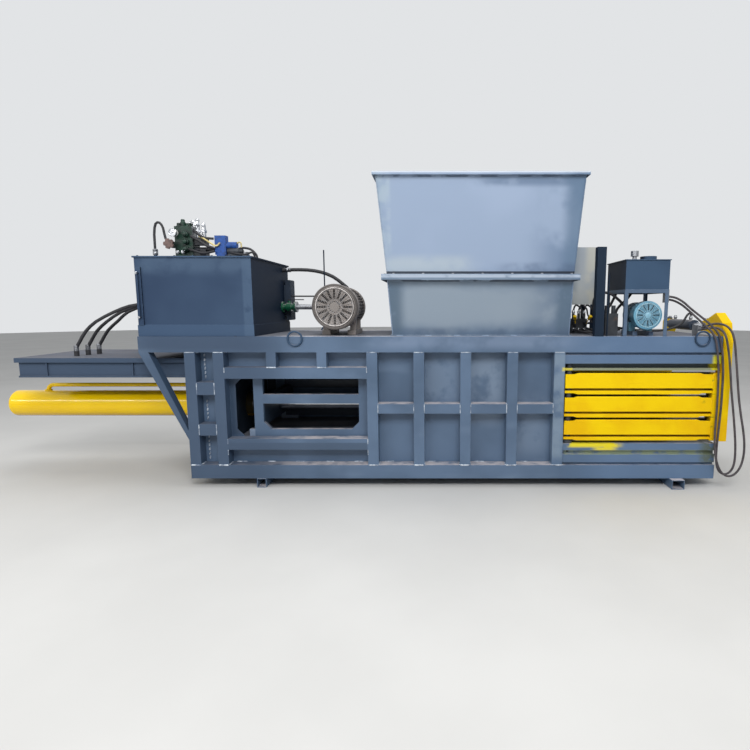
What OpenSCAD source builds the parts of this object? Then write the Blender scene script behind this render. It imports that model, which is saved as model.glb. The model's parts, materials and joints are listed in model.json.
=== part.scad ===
/* [Frame] */
// Length of the base rails
frame_len = 5000; // [4700:10:5300]
// Width over both side frames
frame_w = 1360; // [1300:10:1440]
// Depth of the side members across the machine
member_d = 120; // [100:5:130]
// Width of the posts
post_w = 100; // [80:5:110]
// Height of the base rails
base_rail_h = 132; // [110:2:150]
// Height of the top rails
top_rail_h = 148; // [120:2:160]
// Height of the top of the deck above the floor
deck_z = 1449; // [1440:1:1500]
// Thickness of the side panels
panel_t = 12; // [8:1:16]
// Height of the skid tubes
skid_h = 90; // [70:5:100]
// Length of the top rails past the first post
rail_overhang = 420; // [360:10:460]

/* [Bays] */
// Clear width between the first two posts
rear_bay = 165; // [150:5:190]
// Clear length of the ram bay
ram_bay = 1330; // [1300:10:1380]
// Pitch of the panel bays
bay_pitch = 437.5; // [425:2.5:440]
// Height of the middle rails in the panel bays
mid_rail_h = 92; // [70:2:110]
// Height of the guide rails beside the ram
guide_rail_h = 106; // [90:2:110]

/* [Ram] */
// Running clearance beside the ram
ram_gap = 12; // [8:1:16]
// Height of the pressing face
platen_h = 740; // [700:10:750]
// Thickness of the pressing face
platen_t = 60; // [50:2:70]
// Length of the ram carriage
carriage_len = 1223; // [1200:1:1240]
// Width of the carriage tubes
carriage_tube = 90; // [70:2:100]

/* [Main cylinder] */
// Outer diameter of the main cylinder
cylinder_d = 275; // [240:5:300]
// Length of the main cylinder outside the bulkhead
cylinder_len = 2160; // [2100:5:2200]
// Wall of the main cylinder
cylinder_wall = 28; // [20:1:34]
// Diameter of the main piston rod
rod_d = 130; // [110:5:150]
// Diameter of the oil pipe along the cylinder
oil_pipe_d = 42; // [34:2:48]

/* [Gates] */
// Pitch of the strap slots
slot_pitch = 222.5; // [216:0.5:224]
// Width of the strap slots
slot_w = 20; // [16:1:24]
// Length of the funnel at each slot end
funnel_len = 120; // [80:5:160]
// Diameter of the gate hinge pins
hinge_d = 60; // [50:2:66]
// Diameter of the squeeze cylinder
squeeze_d = 110; // [100:2:116]
// Diameter of the squeeze rod
squeeze_rod_d = 60; // [50:2:66]

/* [Hopper] */
// Height of the lower hopper tier
hopper_low_h = 560; // [500:10:600]
// Height of the upper hopper tier
hopper_high_h = 870; // [800:10:880]
// Thickness of the hopper sheet
hopper_t = 6; // [4:1:8]
// Width of the hopper flanges
flange_w = 50; // [40:2:60]

/* [Power unit] */
// Length of the oil tank
tank_len = 1065; // [1000:5:1100]
// Height of the oil tank with its base band
tank_h = 717; // [680:1:740]
// Width of the oil tank across the machine
tank_w = 1150; // [1100:5:1180]
// Radius of the main motor fan cowl
motor_r = 214; // [200:2:220]
// Length of the main motor
motor_len = 620; // [580:5:640]
// Height of the small tank
small_tank_h = 270; // [250:1:290]
// Radius of the small motor fan cowl
small_motor_r = 132; // [120:1:136]

/* [Deck and cabinet] */
// Length of the cylinder deck past the first post
deck_len = 1700; // [1660:10:1740]
// Width of the cylinder deck
deck_w = 1000; // [960:10:1040]
// Height of the control cabinet
cabinet_h = 575; // [540:5:600]

/* [Hidden] */
$fn = 48;

// Small clearances
seat = 0.3;
run = 0.6;
gate_gap = 10;

// Side frame stations
arm_reach = 100;
overall_len = cylinder_len + frame_len + arm_reach;
frame_x0 = cylinder_len - overall_len / 2;
frame_x1 = frame_x0 + frame_len;
out_y = frame_w / 2;
in_y = out_y - member_d;
wall_y = in_y - panel_t;
base_z1 = skid_h + base_rail_h;
top_z0 = deck_z - top_rail_h;
p1 = frame_x0;
p2 = p1 + post_w + rear_bay;
p3 = p2 + post_w + ram_bay;
bay_count = 4;
function bay_post(i) = p3 + i * bay_pitch;
p7 = bay_post(bay_count);
rail_x0 = frame_x0 - rail_overhang;

// Chamber and ram
chamber_z0 = 430;
chamber_z1 = 1195;
floor_t = 12;
deck_t = 12;
ram_y = wall_y - ram_gap;
platen_x1 = p3 + post_w + 5;
platen_z0 = chamber_z0 + 15;
ram_z1 = platen_z0 + platen_h;
carriage_x0 = platen_x1 - carriage_len;
carriage_z0 = chamber_z0 + 36;
cyl_z = 700;
feed_x0 = platen_x1 + 131;
feed_x1 = p7 + post_w - 25;
feed_y = wall_y - 8;
tail_x0 = p1 + post_w + 20;
stroke = feed_x0 - tail_x0 - 1;

// Guides beside the ram
guide_z0 = 372;
guide_z1 = guide_z0 + guide_rail_h;
strip_z0 = 1054;
strip_z1 = 1160;
mid_z0 = 722;

// Gates
gate_x0 = p7 + post_w + gate_gap;
hinge_x = gate_x0 + 45;
hinge_y = out_y - 68;
sill_z1 = 430;
header_z0 = 1130;
slot_z0 = 448;
function slot_z(i) = slot_z0 + i * slot_pitch;
gate_in = wall_y + 4;
gate_out = out_y - 8;
beam_x1 = frame_x1 - 60;
arm_x0 = frame_x1 + 12;
arm_x1 = frame_x1 + arm_reach;
pin_z = 1530;
front_pin_y = -260;
rear_pin_y = 560;
squeeze_x = arm_x1 - squeeze_d / 2 - 1;
pin_d = 40;

// Hopper
hop_x0 = feed_x0;
hop_x1 = p7 + post_w + 57;
hop_y0 = wall_y + 2;
low_z0 = deck_z;
low_z1 = low_z0 + hopper_low_h;
high_z1 = low_z1 + hopper_high_h;

// Power unit
tank_x0 = rail_x0 + 10;
tank_x1 = tank_x0 + tank_len;
tank_y0 = 20 - out_y;
tank_y1 = tank_y0 + tank_w;
tank_z1 = deck_z + tank_h;
lid_t = 14;
tank_top = tank_z1 + lid_t;
motor_x = tank_x1 + 732;
motor_z = 1720;
motor_y0 = -560;
pump_y = 250;

// Cabinet
cab_x0 = hop_x1 + 68;
cab_x1 = cab_x0 + 300;
cab_y0 = -100;
cab_y1 = 300;
cab_z0 = 1745;
cab_z1 = cab_z0 + cabinet_h;

// Unit for the squeeze cylinder, beside the cabinet
unit_x0 = cab_x1 + 110;
unit_x1 = unit_x0 + 402;
unit_y0 = -660;
unit_y1 = -140;
unit_z0 = 1880;
small_x = unit_x0 + 230;
small_z = 1643;
small_y0 = -640;

module box(x0, x1, y0, y1, z0, z1) {
  translate([x0, y0, z0])
    cube([x1 - x0, y1 - y0, z1 - z0]);
}

// A shape drawn in X and Z, given its place across the machine
module across(y0, y1) {
  rotate([90, 0, 0])
    translate([0, 0, -y1])
      linear_extrude(y1 - y0)
        children();
}

// A shape drawn in Y and Z, run along the machine
module along(x0, x1) {
  translate([x0, 0, 0])
    rotate([90, 0, 90])
      linear_extrude(x1 - x0)
        children();
}

module span(x0, x1, z0, z1) {
  translate([x0, z0])
    square([x1 - x0, z1 - z0]);
}

module rod_x(x0, x1, y, z, d) {
  translate([x0, y, z])
    rotate([0, 90, 0])
      cylinder(h = x1 - x0, d = d);
}

module rod_y(x, y0, y1, z, d) {
  translate([x, y1, z])
    rotate([90, 0, 0])
      cylinder(h = y1 - y0, d = d);
}

module rod_z(x, y, z0, z1, d) {
  translate([x, y, z0])
    cylinder(h = z1 - z0, d = d);
}

frame_blue = [0.34, 0.43, 0.52];
deck_blue = [0.40, 0.48, 0.58];
hopper_blue = [0.60, 0.67, 0.77];
tank_blue = [0.25, 0.32, 0.42];
gate_yellow = [0.95, 0.78, 0.05];
bare_steel = [0.62, 0.62, 0.62];
dark_steel = [0.18, 0.19, 0.21];
motor_grey = [0.55, 0.55, 0.54];
small_motor_blue = [0.38, 0.62, 0.72];
valve_green = [0.02, 0.35, 0.22];
cabinet_grey = [0.67, 0.71, 0.74];
rubber_black = [0.08, 0.08, 0.09];

// One side frame, drawn at the front: rails, posts, rungs and the gate surround
rung_z = [[510, 620], [900, 1020]];
brace_w = 90;
brace_foot_z = 467;
stub_w = 90;
stub_x = [p2 + 496, p2 + 967];
module rails_and_posts() {
  span(frame_x0, frame_x1, skid_h, base_z1);
  span(rail_x0, frame_x1, top_z0, deck_z);
  for (x = [p1, p2, p3, bay_post(1), bay_post(2), bay_post(3), p7])
    span(x, x + post_w, base_z1, top_z0);
  for (z = rung_z)
    span(p1 + post_w, p2, z[0], z[1]);
  span(p2 + post_w, p3, guide_z0, guide_z1);
  span(p2 + post_w, p3, strip_z0, strip_z1);
  span(p3 + post_w, p7, mid_z0, mid_z0 + mid_rail_h);
  for (x = stub_x)
    span(x, x + stub_w, strip_z1, top_z0);
}

module knee_brace() {
  polygon([
    [rail_x0, top_z0], [rail_x0 + brace_w, top_z0],
    [p1, brace_foot_z + brace_w], [p1, brace_foot_z]
  ]);
}

// Plate beside the ram window with its corners cut across
window_edge = 56;
window_chamfer = 70;
module window_end() {
  x = p2 + post_w;
  difference() {
    span(x, x + window_edge + window_chamfer, guide_z1, strip_z0);
    polygon([
      [x + window_edge, guide_z1 + window_chamfer],
      [x + window_edge + window_chamfer, guide_z1 - 1],
      [x + window_edge + window_chamfer + 1, guide_z1 - 1],
      [x + window_edge + window_chamfer + 1, strip_z0 + 1],
      [x + window_edge + window_chamfer, strip_z0 + 1],
      [x + window_edge, strip_z0 - window_chamfer]
    ]);
  }
}

// Section of the sill under the gate and the header over it, outside face to the left
module gate_sill() {
  polygon([
    [-in_y, base_z1], [-in_y - 80, base_z1], [-in_y - 80, 246],
    [-out_y + 12, 246], [-out_y + 12, 327], [-in_y - 80, 327],
    [-in_y - 80, 365], [-out_y + 8, 365], [-out_y + 8, sill_z1],
    [-wall_y - 4, sill_z1], [-wall_y - 4, base_z1]
  ]);
}

module gate_header() {
  polygon([
    [-wall_y - 4, top_z0], [-in_y - 80, top_z0], [-in_y - 80, 1278],
    [-out_y + 8, 1278], [-out_y + 8, chamber_z1], [-in_y - 40, chamber_z1],
    [-in_y - 40, 1152], [-in_y - 95, 1152], [-in_y - 95, header_z0],
    [-wall_y - 4, header_z0]
  ]);
}

module side_frame() {
  difference() {
    union() {
      across(-out_y, -in_y)
        rails_and_posts();
      across(-out_y, -out_y + brace_w)
        knee_brace();
      across(-in_y - panel_t, -in_y)
        window_end();
      along(p7 + post_w, frame_x1)
        gate_sill();
      along(p7 + post_w, frame_x1)
        gate_header();
    }
    rod_z(hinge_x, -hinge_y, sill_z1 - 90, top_z0 - 23, hinge_d + 2 * seat);
  }
}

module front_side_frame() {
  color(frame_blue)
    side_frame();
}

module rear_side_frame() {
  color(frame_blue)
    mirror([0, 1, 0])
      side_frame();
}

// Recessed plates that close the bays, with the ram window left open at the front
module side_panel() {
  across(-in_y, -wall_y)
    difference() {
      span(p1 + post_w, p7 + post_w, base_z1, top_z0);
      children();
    }
}

module front_side_panel() {
  color(frame_blue)
    side_panel()
      span(p2 + post_w, p3, guide_z1 - 6, strip_z0);
}

module rear_side_panel() {
  color(frame_blue)
    mirror([0, 1, 0])
      side_panel();
}

// Square tubes under the base rails that the machine stands on
skid_wall = 6;
skid_stations = [[p2 + 360, -out_y - 4], [frame_x1 - 420, -out_y - 60]];
skid_w = 90;
wide_skid_w = 120;
module skid(x, w, y) {
  difference() {
    box(x, x + w, y, -y, 0, skid_h);
    box(x + skid_wall, x + w - skid_wall, y - 1, -y + 1, skid_wall, skid_h - skid_wall);
  }
}

module skid_tubes() {
  color(frame_blue) {
    skid(skid_stations[0][0], skid_w, skid_stations[0][1]);
    skid(skid_stations[1][0], wide_skid_w, skid_stations[1][1]);
  }
}

// Beams across the base and the rear top beam
beam_w = 100;
cross_x = [p1, p2, p3, bay_post(2), p7, p7 + 775, frame_x1 - beam_w];
module cross_beams() {
  color(frame_blue) {
    for (x = cross_x)
      box(x, x + beam_w, -in_y, in_y, skid_h, base_z1);
    box(p1, p1 + post_w, -in_y, in_y, 1042, strip_z1);
    box(rail_x0, rail_x0 + beam_w, -in_y, in_y, top_z0, deck_z - deck_t);
  }
}

// Chamber floor on two stringers
stringer_y = 250;
stringer_t = 16;
module floor_plate() {
  color(deck_blue) {
    box(p2 + post_w, frame_x1, -wall_y, wall_y, chamber_z0 - floor_t, chamber_z0);
    for (y = [-stringer_y, stringer_y])
      box(p2 + post_w, frame_x1, y - stringer_t / 2, y + stringer_t / 2, base_z1, chamber_z0 - floor_t);
  }
}

// Deck with the feed throat, and the ceiling of the bale chamber under it
rib_t = 12;
module top_deck() {
  color(deck_blue) {
    difference() {
      box(rail_x0, frame_x1, -in_y, in_y, deck_z - deck_t, deck_z);
      box(feed_x0, feed_x1 + blade_t, -feed_y, feed_y, deck_z - deck_t - 1, deck_z + 1);
    }
    box(feed_x0 - rib_t, feed_x0, -wall_y, wall_y, chamber_z1, deck_z - deck_t);
    box(feed_x1 + blade_t, feed_x1 + blade_t + rib_t, -wall_y, wall_y, chamber_z1 + deck_t, deck_z - deck_t);
    box(feed_x1 + blade_t, frame_x1, -wall_y, wall_y, chamber_z1, chamber_z1 + deck_t);
    for (x = [p7 + 525, p7 + 985, frame_x1 - rib_t])
      box(x, x + rib_t, -wall_y, wall_y, chamber_z1 + deck_t, deck_z - deck_t);
  }
}

// Knife bolted along the far edge of the feed throat
blade_h = 110;
blade_t = 38;
module shear_blade() {
  color(bare_steel)
    difference() {
      box(feed_x1, feed_x1 + blade_t, -feed_y, feed_y, chamber_z1 - 6, chamber_z1 + blade_h);
      for (y = [-400:200:400])
        rod_x(feed_x1 - 1, feed_x1 + blade_t + 1, y, chamber_z1 + 70, 22);
    }
}

// Bulkhead between the second posts that carries the main cylinder
bulkhead_t = 60;
bulkhead_x = p2 + 20;
flange_t = 45;
flange_d = cylinder_d + 70;
bulkhead_z1 = strip_z1 - 10;
bulkhead_rib_y = 330;
module rear_bulkhead() {
  color(frame_blue)
    difference() {
      union() {
        box(bulkhead_x, bulkhead_x + bulkhead_t, -wall_y, wall_y, base_z1, bulkhead_z1);
        for (y = [-bulkhead_rib_y, bulkhead_rib_y])
          box(p1 + post_w, bulkhead_x, y - 10, y + 10, base_z1, bulkhead_z1 - 160);
      }
      rod_x(bulkhead_x - 1, bulkhead_x + bulkhead_t + 1, 0, cyl_z, cylinder_d + 2 * run);
    }
}

// Platform over the cylinder: a folded top plate on side channels
deck_top_z = 1232;
deck_low_z = 1042;
deck_x0 = p1 - deck_len;
deck_lip = 44;
channel_w = 62;
module cylinder_deck() {
  y = deck_w / 2;
  color(deck_blue) {
    box(deck_x0 - 20, p1, -y - 18, y + 18, deck_top_z - deck_lip, deck_top_z);
    for (side = [0, 1])
      mirror([0, side, 0])
        along(deck_x0, p1)
          polygon([
            [-y + channel_w, deck_top_z - deck_lip], [-y + 14, deck_top_z - deck_lip],
            [-y + 14, deck_low_z + 16],
            [-y - 2, deck_low_z + 16], [-y - 2, deck_low_z], [-y + channel_w, deck_low_z]
          ]);
    box(deck_x0, deck_x0 + 80, -y + channel_w, y - channel_w, deck_low_z, deck_top_z - deck_lip);
    for (x = [deck_x0 + 270, deck_x0 + 1100])
      for (side = [0, 1])
        mirror([0, side, 0])
          box(x, x + 12, -y - 2, -y + channel_w, deck_low_z, deck_top_z - deck_lip);
  }
}

// Barrel with a domed end, a flange at the bulkhead and a gland at the mouth
cylinder_x0 = p1 - cylinder_len;
cylinder_x1 = bulkhead_x + bulkhead_t + 70;
bore_d = cylinder_d - 2 * cylinder_wall;
gland_t = 90;
dome = 40;
module main_cylinder_barrel() {
  r = cylinder_d / 2;
  len = cylinder_x1 - cylinder_x0;
  color(gate_yellow)
    translate([cylinder_x0, 0, cyl_z])
      rotate([0, 90, 0])
        rotate_extrude($fn = 64)
          polygon(concat(
            [[0, 0]],
            [for (a = [0:15:90]) [r - dome + dome * sin(a), dome - dome * cos(a)]],
            [
              [r, bulkhead_x - cylinder_x0 - flange_t], [flange_d / 2, bulkhead_x - cylinder_x0 - flange_t],
              [flange_d / 2, bulkhead_x - cylinder_x0], [r, bulkhead_x - cylinder_x0],
              [r, len], [rod_d / 2 + run, len], [rod_d / 2 + run, len - gland_t],
              [bore_d / 2, len - gland_t], [bore_d / 2, dome + 30], [0, dome + 30]
            ]
          ));
}

// Oil pipe along the top of the barrel with an elbow down into it
oil_pipe_z = 897;
oil_pipe_x0 = cylinder_x0 + 354;
oil_elbow_r = 60;
module cylinder_oil_pipe() {
  top = cyl_z + cylinder_d / 2;
  color(gate_yellow)
    difference() {
      union() {
        rod_x(oil_pipe_x0 + oil_elbow_r, bulkhead_x, 0, oil_pipe_z, oil_pipe_d);
        translate([oil_pipe_x0 + oil_elbow_r, 0, oil_pipe_z - oil_elbow_r])
          rotate([90, 0, 0])
            rotate([0, 0, 90])
              rotate_extrude(angle = 90)
                translate([oil_elbow_r, 0])
                  circle(d = oil_pipe_d);
        rod_z(oil_pipe_x0, 0, top - 12, oil_pipe_z - oil_elbow_r, oil_pipe_d);
        rod_z(oil_pipe_x0, 0, top - 12, top + 14, oil_pipe_d + 26);
      }
      rod_x(oil_pipe_x0 - 80, oil_pipe_x0 + 80, 0, cyl_z, cylinder_d + 2 * run);
    }
}

// Piston and rod, fixed to the back of the pressing face
piston_t = 120;
rod_x0 = cylinder_x0 + dome + 60;
module main_cylinder_rod() {
  color("gainsboro") {
    rod_x(rod_x0 + piston_t, platen_x1 - platen_t - boss_t, 0, cyl_z, rod_d);
    rod_x(rod_x0, rod_x0 + piston_t, 0, cyl_z, bore_d - 2 * run);
  }
}

// Sides of the ram carriage, drawn at the front
side_t = 60;
boss_t = 70;
tail_t = 16;
mid_tube_z = 792;
low_tube_h = 74;
top_tube_z = 1096;
gusset = 70;
right_tube_x = platen_x1 - platen_t - 146;
module carriage_side() {
  difference() {
    span(carriage_x0, platen_x1 - platen_t, carriage_z0, ram_z1 - tail_t);
    difference() {
      span(carriage_x0 + carriage_tube, right_tube_x, carriage_z0 + low_tube_h, mid_tube_z);
      for (x = [carriage_x0 + carriage_tube, right_tube_x])
        translate([x, carriage_z0 + low_tube_h])
          rotate(45)
            square(gusset * sqrt(2), center = true);
    }
    span(carriage_x0 + carriage_tube, right_tube_x, mid_tube_z + carriage_tube, top_tube_z);
  }
}

module ram_carriage() {
  color(frame_blue)
    difference() {
      union() {
        for (side = [0, 1])
          mirror([0, side, 0])
            across(-ram_y, -ram_y + side_t)
              carriage_side();
        box(carriage_x0, carriage_x0 + carriage_tube, -ram_y + side_t, ram_y - side_t, cyl_z - 130, cyl_z + 130);
        box(right_tube_x, platen_x1 - platen_t, -ram_y + side_t, ram_y - side_t, carriage_z0, carriage_z0 + low_tube_h);
        box(tail_x0, platen_x1 - platen_t, -ram_y, ram_y, ram_z1 - tail_t, ram_z1);
      }
      rod_x(carriage_x0 - 1, carriage_x0 + carriage_tube + 1, 0, cyl_z, rod_d + 2 * seat);
    }
}

// Pressing face with four grooves for the straps and a socket for the rod
groove_w = 46;
groove_d = 34;
module ram_platen() {
  x0 = platen_x1 - platen_t;
  color(frame_blue)
    difference() {
      union() {
        box(x0, platen_x1, -ram_y, ram_y, platen_z0, ram_z1);
        rod_x(x0 - boss_t, x0, 0, cyl_z, rod_d + 90);
      }
      for (i = [0:2])
        box(platen_x1 - groove_d, platen_x1 + 1, -ram_y - 1, ram_y + 1, slot_z(i) - 23 + 20, slot_z(i) + 23 + 20);
    }
}

// Bronze-faced shoes under the carriage, the rear pair standing out behind it
shoe_w = 56;
shoe_x = [carriage_x0 - 52, right_tube_x - 4];
shoe_len = [196, 150];
module slide_shoes() {
  color(bare_steel)
    for (side = [0, 1])
      mirror([0, side, 0]) {
        box(shoe_x[0], shoe_x[0] + shoe_len[0], -ram_y, -ram_y + shoe_w, chamber_z0 + seat, carriage_z0);
        box(shoe_x[0], carriage_x0, -ram_y, -ram_y + shoe_w, carriage_z0, carriage_z0 + low_tube_h);
        box(shoe_x[1], shoe_x[1] + shoe_len[1], -ram_y, -ram_y + shoe_w, chamber_z0 + seat, carriage_z0);
      }
}

// Section of one gate beam: inner plate, main box, groove and lower lip
lip_h = 36;
lip_groove = 18;
module beam_section(z0, z1) {
  polygon([
    [-gate_in, z0], [-gate_out + 14, z0], [-gate_out + 14, z0 + lip_h],
    [-gate_out + 44, z0 + lip_h], [-gate_out + 44, z0 + lip_h + lip_groove],
    [-gate_out, z0 + lip_h + lip_groove + 6], [-gate_out, z1 - 6], [-gate_out + 6, z1],
    [-gate_in, z1]
  ]);
}

// Wedges that open a strap slot into a funnel at both ends
funnel_extra = 11;
funnel_depth = 70;
module slot_funnel(z) {
  h = slot_w / 2 + funnel_extra;
  for (end = [0, 1])
    translate([end == 0 ? gate_x0 : beam_x1, 0])
      mirror([end, 0])
        polygon([
          [-1, z - h], [funnel_len - 34, z - h], [funnel_len, z - slot_w / 2],
          [funnel_len, z + slot_w / 2], [funnel_len - 34, z + h], [-1, z + h]
        ]);
}

// Arms outside the frame end: the front one rises past the deck and leans in to the cylinder pin
arm_foot_z = 452;
arm_tip = 55;
fork_h = 64;
module front_arm() {
  y = -gate_out;
  polygon([
    [y, arm_foot_z], [-in_y, arm_foot_z], [-in_y, deck_z - 40], [-in_y + 40, deck_z + 8],
    [front_pin_y - 40, pin_z - arm_tip], [front_pin_y + arm_tip, pin_z - 48],
    [front_pin_y + arm_tip, pin_z + 48], [front_pin_y - 40, pin_z + arm_tip],
    [-in_y + 60, pin_z + 135], [y + 40, pin_z + 40], [y, top_z0 + 90]
  ]);
}

module rear_arm() {
  y = -gate_out;
  polygon([
    [y, arm_foot_z], [-in_y, arm_foot_z], [-in_y, pin_z - 120],
    [-rear_pin_y + arm_tip, pin_z - arm_tip], [-rear_pin_y + arm_tip, pin_z + arm_tip],
    [y + 30, pin_z + arm_tip], [y, pin_z + 25]
  ]);
}

module gate(pin_y, bore) {
  z0 = slot_z(0) + slot_w / 2;
  z1 = slot_z(3) - slot_w / 2;
  difference() {
    union() {
      for (i = [0:2])
        along(gate_x0, beam_x1)
          beam_section(slot_z(i) + slot_w / 2, slot_z(i + 1) - slot_w / 2);
      box(beam_x1, arm_x1, -gate_out, -gate_in, z0, z1);
      along(arm_x0, arm_x1)
        children();
    }
    for (i = [0:3])
      across(-gate_out - 1, -gate_out + funnel_depth)
        slot_funnel(slot_z(i));
    rod_z(hinge_x, -hinge_y, z0 - 1, z1 + 1, hinge_d + 2 * run);
    rod_z(squeeze_x, pin_y, pin_z - 200, pin_z + 200, bore);
    box(arm_x0 - 1, arm_x1 + 1, pin_y - 60, pin_y + 60, pin_z - fork_h / 2, pin_z + fork_h / 2);
  }
}

module front_gate() {
  color(gate_yellow)
    gate(front_pin_y, pin_d + 5)
      front_arm();
}

module rear_gate() {
  color(gate_yellow)
    mirror([0, 1, 0])
      gate(-rear_pin_y, pin_d + 2 * seat)
        rear_arm();
}

// Hinge pins between sill and header, each with a collar that the gate rides on
module gate_hinge_pins() {
  color(bare_steel)
    for (side = [-1, 1]) {
      rod_z(hinge_x, side * hinge_y, sill_z1 - 90 + seat, top_z0 - 23 - seat, hinge_d);
      rod_z(hinge_x, side * hinge_y, sill_z1 + seat, slot_z(0) + slot_w / 2 - seat, hinge_d + 36);
    }
}

// Squeeze cylinder across the frame end, with its rear eye and pin
squeeze_y0 = -30;
squeeze_y1 = 500;
squeeze_wall = 14;
eye_d = 84;
eye_h = fork_h - 4;
module pin_with_heads(y) {
  h = arm_tip + 8;
  rod_z(squeeze_x, y, pin_z - h, pin_z + h, pin_d);
  rod_z(squeeze_x, y, pin_z + arm_tip + seat, pin_z + h + 8, pin_d + 16);
}

module squeeze_cylinder_barrel() {
  color(frame_blue)
    difference() {
      union() {
        rod_y(squeeze_x, squeeze_y0, squeeze_y1, pin_z, squeeze_d);
        rod_z(squeeze_x, rear_pin_y, pin_z - eye_h / 2, pin_z + eye_h / 2, eye_d);
        box(squeeze_x - 30, squeeze_x + 30, squeeze_y1 - 1, rear_pin_y, pin_z - eye_h / 2, pin_z + eye_h / 2);
      }
      rod_y(squeeze_x, squeeze_y0 + 40, squeeze_y1 - 30, pin_z, squeeze_d - 2 * squeeze_wall);
      rod_y(squeeze_x, squeeze_y0 - 1, squeeze_y0 + 41, pin_z, squeeze_rod_d + 2 * run);
      rod_z(squeeze_x, rear_pin_y, pin_z - 100, pin_z + 100, pin_d + 2 * seat);
    }
  color(bare_steel)
    pin_with_heads(rear_pin_y);
}

module squeeze_cylinder_rod() {
  y1 = squeeze_y1 - 30 - 230;
  color("gainsboro")
    difference() {
      union() {
        rod_y(squeeze_x, front_pin_y, y1, pin_z, squeeze_rod_d);
        rod_y(squeeze_x, y1, y1 + 50, pin_z, squeeze_d - 2 * squeeze_wall - 2 * run);
        rod_z(squeeze_x, front_pin_y, pin_z - eye_h / 2, pin_z + eye_h / 2, eye_d);
      }
      rod_z(squeeze_x, front_pin_y, pin_z - 100, pin_z + 100, pin_d + 2 * seat);
    }
  color(bare_steel)
    pin_with_heads(front_pin_y);
}

// Tapered sheet tier of the hopper between two levels, open at both ends
module tier(z0, z1, low, high) {
  difference() {
    hull() {
      box(low[0], low[1], -low[2], low[2], z0, z0 + 0.01);
      box(high[0], high[1], -high[2], high[2], z1 - 0.01, z1);
    }
    hull() {
      box(low[0] + hopper_t, low[1] - hopper_t, -low[2] + hopper_t, low[2] - hopper_t, z0 - 0.1, z0);
      box(high[0] + hopper_t, high[1] - hopper_t, -high[2] + hopper_t, high[2] - hopper_t, z1, z1 + 0.1);
    }
  }
}

// Flat flange frame around a tier: its inner edge and its width
module flange(edge, w, z0, z1) {
  difference() {
    box(edge[0] - w, edge[1] + w, -edge[2] - w, edge[2] + w, z0, z1);
    box(edge[0] + hopper_t, edge[1] - hopper_t, -edge[2] + hopper_t, edge[2] - hopper_t, z0 - 1, z1 + 1);
  }
}

// Skirt round the outer edge of a flange
module skirt(edge, w, t, z0, z1) {
  difference() {
    box(edge[0] - w, edge[1] + w, -edge[2] - w, edge[2] + w, z0, z1);
    box(edge[0] - w + t, edge[1] + w - t, -edge[2] - w + t, edge[2] + w - t, z0 - 1, z1 + 1);
  }
}

low_edge = [hop_x0, hop_x1, hop_y0];
joint_edge = [hop_x0 - 34, hop_x1, 660];
top_edge = [hop_x0 - 111, hop_x1 + 46, 800];
flange_t2 = 8;
base_flange = 22;
rim_w = 30;
joint_skirt = 48;
rim_skirt = 28;
bolt_d = 14;
bolt_pitch_x = 270;
bolt_pitch_y = 300;
function joint_bolts() = concat(
  [for (i = [0:6]) for (s = [-1, 1]) [joint_edge[0] + 60 + i * bolt_pitch_x, s * (joint_edge[2] + flange_w / 2)]],
  [for (j = [-2:2]) for (x = [joint_edge[0] - flange_w / 2, joint_edge[1] + flange_w / 2]) [x, j * bolt_pitch_y]]
);

module bolt_holes() {
  for (p = joint_bolts())
    rod_z(p[0], p[1], low_z1 - 60, low_z1 + 60, bolt_d + 2 * seat);
}

module hopper_lower() {
  color(hopper_blue)
    difference() {
      union() {
        tier(low_z0, low_z1, low_edge, joint_edge);
        flange(low_edge, base_flange, low_z0, low_z0 + flange_t2);
        flange(joint_edge, flange_w, low_z1 - flange_t2, low_z1);
        skirt(joint_edge, flange_w, hopper_t, low_z1 - joint_skirt, low_z1);
      }
      bolt_holes();
    }
}

module hopper_upper() {
  color(hopper_blue)
    difference() {
      union() {
        tier(low_z1, high_z1, joint_edge, top_edge);
        flange(joint_edge, flange_w, low_z1, low_z1 + flange_t2);
        flange(top_edge, rim_w, high_z1 - flange_t2, high_z1);
        skirt(top_edge, rim_w, hopper_t, high_z1 - rim_skirt, high_z1);
      }
      bolt_holes();
    }
}

module hopper_bolts() {
  color(bare_steel)
    for (p = joint_bolts()) {
      rod_z(p[0], p[1], low_z1 - flange_t2 - 16, low_z1 + flange_t2 + 1, bolt_d);
      translate([p[0], p[1], low_z1 + flange_t2 + seat])
        cylinder(h = 9, d = 24, $fn = 6);
      translate([p[0], p[1], low_z1 - flange_t2 - 11 - seat])
        cylinder(h = 11, d = 24, $fn = 6);
    }
}

// Rings welded to the outer edge of the top rails
ring_x = [p2 + 773, frame_x1 - 192];
ring_z = deck_z - 20;
ring_r = 66;
ring_bar = 18;
module lifting_rings() {
  color(frame_blue)
    for (side = [-1, 1])
      for (x = ring_x)
        translate([x, side * (out_y + ring_bar / 2 + seat), ring_z])
          rotate([90, 0, 0])
            rotate_extrude()
              translate([ring_r, 0])
                circle(d = ring_bar, $fn = 16);
}

// Oil tank with a thicker band round its foot
band_h = 106;
band_t = 5;
module oil_tank() {
  color(tank_blue) {
    box(tank_x0, tank_x1, tank_y0, tank_y1, deck_z + band_h, tank_z1);
    box(tank_x0 - band_t, tank_x1 + band_t, tank_y0 - band_t, tank_y1 + band_t, deck_z, deck_z + band_h);
  }
}

lid_lip = 12;
lid_bolt_pitch = 175;
module tank_lid() {
  color(tank_blue) {
    box(tank_x0 - lid_lip, tank_x1 + lid_lip, tank_y0 - lid_lip, tank_y1 + lid_lip, tank_z1, tank_top);
    for (i = [0:6])
      for (y = [tank_y0 + 22, tank_y1 - 22])
        translate([tank_x0 + 22 + i * (tank_len - 44) / 6, y, tank_top])
          cylinder(h = 8, d = 20, $fn = 6);
    translate([tank_x0 + 640, tank_y0 + 800, tank_top])
      cylinder(h = 22, d = 420);
  }
}

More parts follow.
